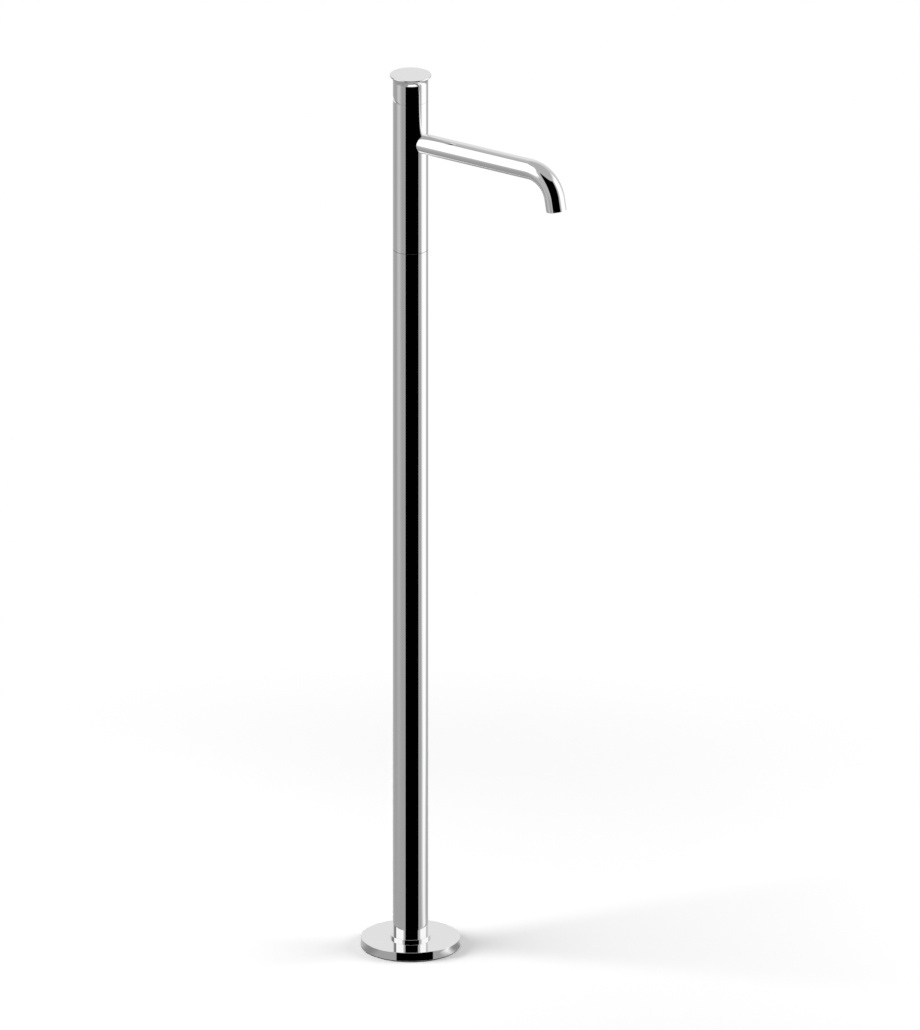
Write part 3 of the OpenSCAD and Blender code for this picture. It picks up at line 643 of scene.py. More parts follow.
class Finish:
    """A material whose shader has constant numbers and colours on its own sockets."""

    def __init__(self, name, **constants):
        self.material = bpy.data.materials.new(name)
        self.material.use_nodes = True
        self.tree = self.material.node_tree
        self.shader = self.tree.nodes["Principled BSDF"]
        for key, value in constants.items():
            value = (*value, 1) if hasattr(value, "__len__") else value
            self.shader.inputs[key.replace("_", " ")].default_value = value

    def noise(self, scale, detail=3.0, roughness=0.5, stretch=(1, 1, 1)):
        """A Noise Texture's value on Object coordinates, stretched by a Mapping node."""
        spot = add(self.tree, "ShaderNodeTexCoord", output="Object")
        spot = add(self.tree, "ShaderNodeMapping", {"Vector": spot, "Scale": stretch})
        inputs = {"Vector": spot, "Scale": scale, "Detail": detail, "Roughness": roughness}
        return add(self.tree, "ShaderNodeTexNoise", inputs)

    def gloss(self, pattern, smoothest, roughest, low=0.3, high=0.7):
        """Links a roughness that follows a pattern."""
        pattern.between(low, high, smoothest, roughest).feed(self.shader.inputs["Roughness"])

    def bump(self, height, depth):
        """Links a height to the shader's normal; depth is in metres."""
        inputs = {"Height": height, "Distance": depth, "Strength": 1.0}
        add(self.tree, "ShaderNodeBump", inputs).feed(self.shader.inputs["Normal"])

    def tint(self, base, pattern, darker, lighter):
        """Links a base colour that drifts between a darker and a lighter tone of itself."""
        inputs = {"Factor": pattern}
        for key, share in (("A", darker), ("B", lighter)):
            inputs[key] = (*[min(c * share, 1) for c in base], 1)
        mix = add(self.tree, "ShaderNodeMix", inputs, output="Result", data_type="RGBA")
        mix.feed(self.shader.inputs["Base Color"])


def chrome_finish(slot, base):
    """Polished plating: very even, with a breath of wiping marks in its gloss."""
    finish = Finish(FINISH_NAMES[slot], Base_Color=base, Metallic=1.0)
    wiped = finish.noise(scale=4.0, detail=4.0, stretch=(30, 30, 9))
    finish.gloss(wiped, 0.006, 0.02, low=0.35, high=0.75)


def turned_finish(slot, base, rough, line):
    """Machined metal with fine turning lines round it and small changes of tone."""
    finish = Finish(FINISH_NAMES[slot], Metallic=1.0)
    lines = finish.noise(scale=1.0, detail=6.0, roughness=0.6, stretch=(60, 60, line))
    finish.tint(base, finish.noise(scale=90.0), darker=0.86, lighter=1.08)
    finish.gloss(lines, rough - 0.07, rough + 0.1)
    finish.bump(lines, depth=0.03 * MM)


def strand_finish(slot, base):
    """Flat strands of fine steel wire, which lie side by side along each strand. Their colour is painted
    darker in the grooves where one wire meets the next, as painted shade, and the same pattern bumps the
    relief.
    """
    finish = Finish(FINISH_NAMES[slot], Metallic=1.0, Roughness=0.28)
    across = add(finish.tree, "ShaderNodeAttribute", output="Fac", attribute_name="across")
    wire_relief_and_groove_shade = abs((across * 9.4).maths("SINE"))
    # Painted shade: the tint darkens the steel in the grooves between neighbouring wire threads.
    finish.tint(base, wire_relief_and_groove_shade, darker=0.35, lighter=1.1)
    finish.bump(wire_relief_and_groove_shade, depth=0.1 * MM)


def rubber_finish(slot, base):
    """Matt black rubber with a fine grain and a light bloom."""
    finish = Finish(FINISH_NAMES[slot])
    grain = finish.noise(scale=2600.0, detail=4.0, roughness=0.6)
    bloom = finish.noise(scale=70.0)
    finish.tint(base, bloom, darker=0.8, lighter=1.7)
    finish.gloss(bloom, 0.55, 0.78)
    finish.bump(grain, depth=0.04 * MM)


def plastic_finish(slot, base, gloss):
    """Moulded plastic with a faint spark texture and slight flow marks."""
    finish = Finish(FINISH_NAMES[slot], IOR=1.49)
    spark = finish.noise(scale=1800.0, detail=5.0, roughness=0.65)
    flow = finish.noise(scale=60.0, detail=2.0, stretch=(1, 1, 2.5))
    finish.tint(base, flow, darker=0.94, lighter=1.05)
    finish.gloss(spark, gloss, gloss + 0.14)
    finish.bump(spark, depth=0.02 * MM)


def ceramic_finish(slot, base):
    """Fine ceramic, lapped flat, with small grey specks."""
    finish = Finish(FINISH_NAMES[slot], IOR=1.75)
    specks = finish.noise(scale=3200.0, detail=2.0)
    finish.tint(base, specks.between(0.62, 0.7, 1.0, 0.0), darker=0.7, lighter=1.0)
    finish.gloss(finish.noise(scale=240.0), 0.12, 0.24)


def finish_of(slot):
    """The finish made for a material slot of the record."""
    return bpy.data.materials[FINISH_NAMES[slot]]


def dress(piece, slot, body, *nodes):
    """Gives a finished piece its finish and its body, and hides the CAD nodes that it stands for."""
    piece.data.materials.clear()
    piece.data.materials.append(finish_of(slot))
    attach(piece, body)
    if nodes:
        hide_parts(*nodes)


def coat(slot, *nodes):
    """Gives CAD nodes that stay in view their finish."""
    for name in nodes:
        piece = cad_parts[name]
        for holder in piece.material_slots:
            holder.material = finish_of(slot)


class MIXER_OT_finishes(Operator):
    """Make the finishes of all the pieces"""

    bl_idname = "mixer.finishes"
    bl_label = "Finishes"

    def execute(self, context):
        colours = context.scene.mixer_colours
        chrome_finish("chrome", colours.chrome)
        turned_finish("steel", colours.steel, rough=0.3, line=2400)
        turned_finish("brass", colours.brass, rough=0.26, line=3000)
        rubber_finish("rubber", colours.rubber)
        strand_finish("hose_jacket", colours.steel)
        plastic_finish("white_plastic", colours.white_plastic, gloss=0.32)
        plastic_finish("grey_plastic", colours.grey_plastic, gloss=0.4)
        ceramic_finish("ceramic", colours.ceramic)
        return {"FINISHED"}


class MIXER_OT_column(Operator):
    """Turn the column tube and the mixer body"""

    bl_idname = "mixer.column"
    bl_label = "Column and mixer body"

    def execute(self, context):
        column, spout = context.scene.mixer_column, context.scene.mixer_spout
        inner = column.radius - column.wall
        groove, clearance = 0.3 * MM, 0.05 * MM

        def tube(name, low, high, outer=column.radius):
            corners = [(inner, low), (outer, low), (outer, high), (inner, high)]
            return turned(name, corners, column.sides)

        dress(tube("column", column.foot, column.seam_low), "chrome", FIXED, "column_tube")
        # Painted shade: a black rubber ring, set back in the hairline seam between the tube and the body,
        # stands for the shade in that gap.
        seam_shade = tube("seam_shade_ring", column.seam_low, column.seam_high, column.radius - groove)
        dress(seam_shade, "rubber", FIXED)
        body = tube("mixer_body", column.seam_high, column.top)
        hole = spout.radius + clearance
        carve(body, rod("drill", hole, column.radius * 1.5, along_spout(spout), sides=128))
        bore = barrel(hole, (0, 0, spout.height), (1, 0, 0))
        true_normals(body, barrel(column.radius), barrel(inner), bore)
        dress(body, "chrome", FIXED, "body_shell")
        return {"FINISHED"}


class MIXER_OT_flange(Operator):
    """Turn the floor flange with the collar round the column"""

    bl_idname = "mixer.flange"
    bl_label = "Floor flange"

    def execute(self, context):
        flange, sides = context.scene.mixer_flange, context.scene.mixer_column.sides
        shape = outline(
            (flange.radius - flange.rim, flange.bottom),
            (flange.radius, flange.bottom, flange.low_edge),
            (flange.radius, flange.top, flange.edge),
            (flange.collar, flange.top),
            (flange.collar, flange.collar_top, flange.collar_edge),
            (flange.bore, flange.collar_top),
            (flange.bore, flange.hub_low),
            (flange.hub, flange.hub_low),
            (flange.hub, flange.ceiling),
            (flange.radius - flange.rim, flange.ceiling),
        )
        dress(turned("floor_flange", shape, sides), "chrome", FIXED, "flange_cover")
        return {"FINISHED"}


class MIXER_OT_spout(Operator):
    """Sweep the bent spout"""

    bl_idname = "mixer.spout"
    bl_label = "Spout"

    def execute(self, context):
        spout = context.scene.mixer_spout
        outer, inner = spout.radius, spout.radius - spout.wall
        bend_end = spout.run + spout.bend * spout.bend_turn
        end = bend_end + spout.tip
        ways = [spout.root, *np.linspace(spout.run, bend_end, spout.steps + 1)]
        shape = [(outer, way) for way in ways]
        shape += outline(
            (outer, end, spout.edge),
            (inner, end, spout.edge),
            (inner, spout.root),
            (outer, spout.root),
        )[:-2]
        shape += [(inner, way) for way in reversed(ways)]
        piece = turned("spout", shape, spout.sides, along_spout(spout))
        dress(piece, "chrome", FIXED, "spout_tube")
        return {"FINISHED"}


class MIXER_OT_handle(Operator):
    """Shape the handle, its plug and the dome that it tilts on"""

    bl_idname = "mixer.handle"
    bl_label = "Handle"

    def execute(self, context):
        handle, column = context.scene.mixer_handle, context.scene.mixer_column
        dress(self.handle(handle, column.sides), "chrome", LEVER, "handle")
        dress(self.plug(), "chrome", LEVER, "screw_plug")
        dress(self.dome(handle), "grey_plastic", FIXED, "dome_cap")
        return {"FINISHED"}

    def handle(self, handle, sides):
        """The turned handle with the wedge under its rear, the hollow, the socket and the hole."""
        out = handle.disc - handle.radius
        sweep = (out * out + handle.flare * handle.flare) / (2 * out)
        rim_low = handle.top - handle.disc_edge
        flare_low = rim_low - handle.flare
        flare_turn, flare_steps = math.degrees(math.asin(handle.flare / sweep)), 20
        shape = arc(0, handle.joint, handle.hollow, 90, 0, steps=24)
        shape[0] = (0, shape[0][1])
        shape += [(handle.radius, handle.joint)]
        shape += arc(handle.radius + sweep, flare_low, sweep, 180, 180 - flare_turn, flare_steps)[:-1]
        shape += outline(
            shape[-1],
            (handle.disc, rim_low, handle.under_edge),
            (handle.disc, handle.top, handle.edge),
            (0, handle.top),
        )[1:]
        last_slope = math.radians(flare_turn) * (1 - 0.5 / flare_steps)
        under = rim_low + handle.under_edge * math.tan(last_slope / 2)
        piece = turned("lever_handle", shape, sides)
        self.cut_wedge(piece, handle, flare_low)
        half = handle.socket / 2
        socket = box_piece("socket", (-half, -half, handle.joint), (half, half, handle.socket_top))
        hole = rod("hole", handle.grub, handle.radius * 1.5, to_rear(handle.grub_height))
        carve(piece, socket, hole)
        return true_normals(
            piece,
            barrel(handle.radius),
            barrel(handle.disc),
            ball(handle.hollow, (0, 0, handle.joint)),
            ring(handle.radius + sweep, sweep, flare_low),
            ring(handle.disc - handle.edge, handle.edge, handle.top - handle.edge),
            ring(handle.disc - handle.under_edge, handle.under_edge, under),
            barrel(handle.grub, (0, 0, handle.grub_height), (1, 0, 0)),
        )

    def cut_wedge(self, piece, handle, flare_low):
        """Lifts the rear half's lower edge onto the wedge, and draws the walls and the hollow with it."""
        near, slope, rise = 0.001 * MM, math.tan(handle.wedge), flare_low - handle.joint
        for vertex in piece.data.vertices:
            spot = vertex.co
            reach = math.hypot(spot.x, spot.y)
            if spot.x >= 0 or reach < near or spot.z > flare_low + near:
                continue
            back, above = -spot.x / reach, spot.z - handle.joint
            if abs(math.hypot(reach, above) - handle.hollow) < near:
                lift = math.atan(slope * back)
                tip = math.atan2(above, reach)
                tip = lift + tip * (1 - lift / (math.pi / 2))
                flat = handle.hollow * math.cos(tip) / reach
                spot.x, spot.y = spot.x * flat, spot.y * flat
                spot.z = handle.joint + handle.hollow * math.sin(tip)
            else:
                low = slope * back * reach
                spot.z = handle.joint + low + above * (1 - low / rise)

    def plug(self):
        """The plug over the grub screw, its face curved like the handle."""
        low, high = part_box("screw_plug")
        radius, deep, face = (high.y - low.y) / 2, high.x, -low.x
        edge, skin = 0.15 * MM, 0.5 * MM
        shape = outline((0, -deep), (radius, -deep), (radius, face, edge), (0, face))
        piece = turned("handle_plug", shape, sides=48, place=to_rear((low.z + high.z) / 2))
        for vertex in piece.data.vertices:
            spot = vertex.co
            if -spot.x > face - skin:
                spot.x += face - math.sqrt(face * face - spot.y * spot.y)
        return piece

    def dome(self, handle):
        """The dome on top of the mixer body, round the lever."""
        outer, inner = handle.dome, handle.dome - handle.dome_wall
        low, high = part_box("dome_cap")
        centre, foot_top, edge = handle.joint, handle.joint - 0.45 * MM, 0.1 * MM

        def tip(radius):
            return math.degrees(math.acos(handle.dome_open / radius))

        def dip(radius, height):
            return math.degrees(math.asin((height - centre) / radius))

        shape = outline(
            (inner * math.cos(math.radians(dip(inner, low.z))), low.z),
            (high.x, low.z, edge),
            (high.x, foot_top, edge),
            (outer, foot_top),
        )[:-1]
        shape += arc(0, centre, outer, dip(outer, foot_top), tip(outer), steps=24)
        shape += arc(0, centre, inner, tip(inner), dip(inner, low.z), steps=24)[:-1]
        return turned("handle_dome", shape, sides=192)


class MIXER_OT_hoses(Operator):
    """Braid the hoses, and make their ferrules and threaded ends"""

    bl_idname = "mixer.hoses"
    bl_label = "Hoses"

    def execute(self, context):
        hose = context.scene.mixer_hoses
        for node_name, side in (("hot_hose", -1.0), ("cold_hose", 1.0)):
            braid = self.braid(f"{node_name}_braid", hose, side)
            dress(braid, "hose_jacket", FIXED, node_name)
            dress(self.lining(f"{node_name}_lining", hose, side), "rubber", FIXED)
        dress(self.ferrules(hose), "steel", FIXED, "hose_ferrules")
        dress(self.ends(hose), "brass", FIXED, "hose_tails")
        return {"FINISHED"}

    def lining(self, name, hose, side):
        """The rubber tube inside the braid, from 0 at its foot to 1 at its top."""

        def place(way):
            x = -hose.bow * (1 - math.cos(2 * math.pi * way)) / 2
            drawn = (hose.high_pitch - hose.low_pitch) * (1 - math.cos(math.pi * way)) / 2
            y = side * (hose.low_pitch + drawn) / 2
            return Vector((x, y, hose.low + (hose.high - hose.low) * way)), AXIS_X, AXIS_Y, AXIS_Z

        ways = np.linspace(0, 1, 61)
        shape = [(hose.lining, way) for way in ways] + [(hose.bore, way) for way in ways[::-1]]
        return turned(name, shape, sides=24, place=place)

    def braid(self, name, hose, side):
        """Flat strands that wind both ways round a hose, over and under each other."""
        bare_end = 0.7 * MM
        made = Maker(
            "hose braid",
            Strands=hose.strands,
            Turns=float(hose.turns),
            Radius=hose.braid,
            Wave=hose.wave,
            Width=hose.strand_width,
            Depth=hose.strand_depth,
            Low=hose.low + bare_end,
            Tall=hose.high - hose.low - 2 * bare_end,
            Bow=-hose.bow / 2,
            Foot_side=side * hose.low_pitch / 2,
            Drawn_in=side * (hose.high_pitch - hose.low_pitch) / 4,
        )
        size, spot = made.size, made.spot()
        parts = made.add("ShaderNodeSeparateXYZ", {0: spot})
        across, height = parts.also(1), parts.also(2)
        inputs = {"Geometry": made.circle(6, 1.0), "Name": "across", "Value": across}
        strand = made.add("GeometryNodeStoreNamedAttribute", inputs, domain="POINT")
        strand = made.moved(strand, Scale=made.vector(size("Depth") * 0.5, size("Width") * 0.5, 1.0))

        def wave(turns):
            return (turns * (2 * math.pi)).maths("COSINE")

        way = height / size("Tall")
        swell = wave(size("Strands") * size("Turns") * way) * size("Wave") / size("Radius")
        bow = (1.0 - wave(way)) * size("Bow")
        sideways = (1.0 - wave(way * 0.5)) * size("Drawn in") + size("Foot side")
        route = made.vector(bow, sideways, size("Low"))
        layers = []
        for reverse, outward in ((False, 1.0), (True, -1.0)):
            points = size("Strands") * 4.0
            layer = made.spiral(points, size("Turns"), size("Radius"), size("Tall"), reverse)
            inputs = {"Geometry": layer, "Amount": size("Strands")}
            layer = made.add("GeometryNodeDuplicateElements", inputs, domain="SPLINE")
            scale = swell * outward + 1.0
            inputs = {0: spot, 1: made.vector(scale, scale, 1.0)}
            wavy = made.add("ShaderNodeVectorMath", inputs, operation="MULTIPLY")
            spin = layer.also("Duplicate Index") / size("Strands") * (2 * math.pi)
            inputs = {"Vector": wavy, "Angle": spin}
            spun = made.add("ShaderNodeVectorRotate", inputs, rotation_type="Z_AXIS")
            placed = made.add("ShaderNodeVectorMath", {0: spun, 1: route}, operation="ADD")
            inputs = {"Geometry": layer, "Position": placed}
            layers.append(made.add("GeometryNodeSetPosition", inputs))
        shape = made.wound(made.joined(*layers), strand)
        return made.make(shape, "hose_jacket", new_piece(name, [], []))

    def at_ends(self, piece, hose, slot, **thread):
        """Puts an end piece, whose zero is where its hose stops, onto the four ends of the hoses.

        The sizes of a thread, where they are given, wind a ridge round it.
        """
        made = Maker(
            "hose ends",
            Low=hose.low,
            High=hose.high,
            Low_pitch=hose.low_pitch,
            High_pitch=hose.high_pitch,
            **thread,
        )
        size, item = made.size, made.size("Geometry")
        if thread:
            pitch, tall = size("Thread pitch"), size("Thread length")
            path = made.spiral(24, tall / pitch, size("Thread radius"), tall)
            ridge = made.wound(path, made.circle(4, pitch * 0.5))
            ridge = made.moved(ridge, Translation=made.vector(z=size("Thread start")))
            item = made.joined(item, ridge)
        ends = []
        for end, spin in (("Low", math.pi), ("High", 0.0)):
            pitch = size(f"{end} pitch")
            first = made.vector(0.0, pitch * -0.5, size(end))
            inputs = {"Count": 2, "Start Location": first, "Offset": made.vector(y=pitch)}
            spots = made.add("GeometryNodeMeshLine", inputs)
            ends.append(made.set_out(spots, item, Rotation=(spin, 0, 0)))
        return made.make(made.joined(*ends), slot, piece)

    def ferrules(self, hose):
        """The crimped ferrules, each with four grooves pressed into it."""
        low, inner, rim = -hose.ferrule_length, hose.braid + 0.6 * MM, hose.ferrule - 0.3 * MM
        grooves, groove = np.linspace(-13, -4, 4) * MM, 0.9 * MM
        shape = [(inner, 0), (inner, low), (rim, low)]
        for height in grooves:
            shape += arc(hose.ferrule, height, groove, -90, -270, steps=8)
        shape.append((rim, 0))
        ferrule = turned("hose_ferrules_crimped", shape, sides=48, sharp=30)
        return self.at_ends(ferrule, hose, "steel")

    def ends(self, hose):
        """The threaded ends with their hexagons and the barbs inside the hoses."""
        bore, tail, tail_end = 2 * MM, 2.3 * MM, -12.8 * MM
        barbs, barb, neck, step = np.linspace(-9.7, -1.9, 4) * MM, 2.88 * MM, 2.4 * MM, 0.05 * MM
        core, foot, top = hose.thread - 0.45 * hose.thread_pitch, hose.hexagon_height, hose.end
        start, lead, bevel = foot + 2 * MM, 0.6 * MM, 0.4 * MM
        shape = [(bore, top), (bore, tail_end), (tail, tail_end)]
        for height in barbs:
            shape += [(barb, height), (neck, height + step)]
        shape += outline((core, foot - 1 * MM), (core, top, lead), (bore, top))[:-1]
        body = turned("hose_ends_threaded", shape, sides=48)
        corner, hollow = hose.hexagon / math.sqrt(3), bore + 0.2 * MM
        face = corner - 0.5 * MM
        shape = [(hollow, 0), (face, 0), (corner, bevel)]
        shape += [(corner, foot - bevel), (face, foot), (hollow, foot)]
        hexagon = true_normals(turned("hexagon", shape, sides=6, sharp=0))
        with bpy.context.temp_override(active_object=body, selected_editable_objects=[body, hexagon]):
            bpy.ops.object.join()
        return self.at_ends(
            body,
            hose,
            "brass",
            Thread_radius=hose.thread - 0.5 * hose.thread_pitch,
            Thread_pitch=hose.thread_pitch,
            Thread_start=start,
            Thread_length=top - 1 * MM - start,
        )


class MIXER_OT_aerator(Operator):
    """Make the aerator with its honeycomb and the teeth for its key"""

    bl_idname = "mixer.aerator"
    bl_label = "Aerator"

    def execute(self, context):
        spout, aerator = context.scene.mixer_spout, context.scene.mixer_aerator
        end = spout.run + spout.bend * spout.bend_turn + spout.tip
        tip = along_spout(spout)(end)[0]
        at_tip = {"Tip_x": tip.x, "Tip_z": tip.z, "Tip_turn": math.pi / 2 + spout.bend_turn}
        body = self.shell(spout, aerator, end, at_tip)
        dress(body, "white_plastic", FIXED, "aerator_body")
        dress(self.honeycomb(aerator, at_tip), "white_plastic", FIXED, "aerator_screen")
        return {"FINISHED"}

    def at_tip(self, made, shape, height):
        """Moves a shape from the origin to the spout's end."""
        shape = made.moved(shape, Translation=made.vector(z=height))
        place = made.vector(made.size("Tip x"), 0.0, made.size("Tip z"))
        return made.moved(shape, Translation=place, Rotation=made.vector(y=made.size("Tip turn")))

    def shell(self, spout, aerator, end, at_tip):
        """The aerator's body with the teeth for its key in its face."""
        along = along_spout(spout)
        outer, inner = aerator.radius, aerator.radius - aerator.wall
        face, seat = -aerator.recess, -aerator.recess - aerator.height
        ledge, ledge_top = inner - 1.2 * MM, seat + aerator.ledge
        outer_edge, inner_edge, tooth_width = 0.3 * MM, 0.2 * MM, 0.9 * MM
        shape = outline(
            (ledge, seat),
            (outer, seat),
            (outer, face, outer_edge),
            (inner, face, inner_edge),
            (inner, ledge_top),
            (ledge, ledge_top),
        )
        body = turned("aerator_shell", shape, sides=96, place=lambda way: along(end + way))
        made = Maker(
            "aerator teeth",
            Teeth=aerator.teeth,
            Radius=outer - aerator.wall / 2,
            Length=aerator.wall * 0.62,
            Width=tooth_width,
            Height=tooth_width,
            Face=face,
            **at_tip,
        )
        size = made.size
        circle = made.circle(size("Teeth"), size("Radius"))
        points = made.add("GeometryNodeCurveToPoints", {"Curve": circle}, mode="EVALUATED")
        inputs = {"Size": made.vector(size("Height"), size("Length"), size("Width"))}
        tooth = made.add("GeometryNodeMeshCube", inputs)
        teeth = made.set_out(points, tooth, Rotation=points.also("Rotation"))
        teeth = self.at_tip(made, teeth, size("Face"))
        return made.make(made.joined(size("Geometry"), teeth), "white_plastic", body)

    def honeycomb(self, aerator, at_tip):
        """Six-sided cells side by side, in a thin ring."""
        inner = aerator.radius - aerator.wall
        overlap, gap, below = 0.01 * MM, 0.02 * MM, 0.3 * MM
        ring_tall = aerator.height - aerator.ledge - below
        tall = ring_tall - below
        corner = (aerator.cell + overlap) / math.sqrt(3)
        hole = corner - aerator.cell_wall / math.sqrt(3)
        shape = [(hole, 0), (corner, 0), (corner, tall), (hole, tall)]
        cell = true_normals(turned("aerator_honeycomb", shape, sides=6, sharp=0))
        made = Maker(
            "aerator honeycomb",
            Rows=2 * int(inner / aerator.cell) + 3,
            Pitch=aerator.cell,
            Reach=inner - corner,
            Ring=inner - gap,
            Ring_wall=0.9 * MM,
            Height=ring_tall,
            Low=aerator.ledge - aerator.recess - aerator.height,
            **at_tip,
        )
        size = made.size
        rows, pitch, wall = size("Rows"), size("Pitch"), size("Ring wall")
        across = (rows - 1.0) * pitch
        inputs = {"Size X": across * math.sin(math.pi / 3), "Size Y": across}
        grid = made.add("GeometryNodeMeshGrid", {**inputs, "Vertices X": rows, "Vertices Y": rows})
        column = (made.add("GeometryNodeInputIndex") / rows).maths("FLOOR")
        shift = column.maths("MODULO", 2.0) * (pitch * 0.5)
        inputs = {"Geometry": grid, "Offset": made.vector(y=shift)}
        grid = made.add("GeometryNodeSetPosition", inputs)
        away = made.add("ShaderNodeVectorMath", {0: made.spot()}, output="Value", operation="LENGTH")
        inputs = {"Geometry": grid, "Selection": away.maths("GREATER_THAN", size("Reach"))}
        grid = made.add("GeometryNodeDeleteGeometry", inputs, domain="POINT")
        cells = made.set_out(grid, size("Geometry"))
        circle = made.circle(96, size("Ring") - wall * 0.5)
        circle = made.moved(circle, Translation=made.vector(z=size("Height") * 0.5))
        inputs = {"Width": wall, "Height": size("Height")}
        section = made.add("GeometryNodeCurvePrimitiveQuadrilateral", inputs)
        shape = made.joined(cells, made.swept(circle, section))
        return made.make(self.at_tip(made, shape, size("Low")), "white_plastic", cell)


class MIXER_OT_inside(Operator):
    """Finish the pieces inside the column, the body and the cartridge"""

    bl_idname = "mixer.inside"
    bl_label = "Inside pieces"

    def execute(self, context):
        coat("rubber", "floor_gasket", "flange_oring", "hose_washers", "sleeve_orings")
        coat("rubber", "spout_orings", "aerator_seal", "base_seals", "disc_seals", "rotor_oring")
        coat("steel", "mounting_plate", "foot_screws", "inlet_strainers")
        coat("steel", "spout_lock_screw", "pivot_pin", "handle_screw")
        coat("brass", "inlet_block", "joint_sleeve", "valve_block", "spout_bush")
        coat("brass", "spout_nipple", "aerator_ring", "lever_stem", "retaining_nut")
        coat("white_plastic", "check_valves", "cartridge_housing", "rotor")
        coat("grey_plastic", "cartridge_base", "disc_carrier")
        coat("ceramic", "fixed_disc", "moving_disc")
        return {"FINISHED"}


class Card(NamedTuple):
    """A card that the chrome mirrors, its edges as angles in degrees seen from the mixer."""

    start: float
    end: float
    low: float
    top: float
    soft: float = 1.5
    soft_up: float = 1.5
    light: float = None  # None stands for the softboxes' own brightness


# Each card lies over the ones before it; the azimuth runs from the camera towards the right
CARDS = {
    "grey wing": Card(-136, -107, 2, 34, 4, 6, 0.24),
    "left softbox": Card(-107, -46.5, -12.5, 57.5, 1.5, 2.5),
    "right softbox": Card(66, 122, -13, 44, 5, 6),
    "dark floor": Card(-112, -58, -90, -29, 4, 3, 0.28),
    "white sheet": Card(-20, 46, -66, -30, 4, 3),
    "black flag": Card(-34, 50, -19, 44.2, 0.8, 1.5, 0.0),
    "foot of the flag": Card(-33, 54, -24.5, -15, 0.8, 1.5, 0.0),
}


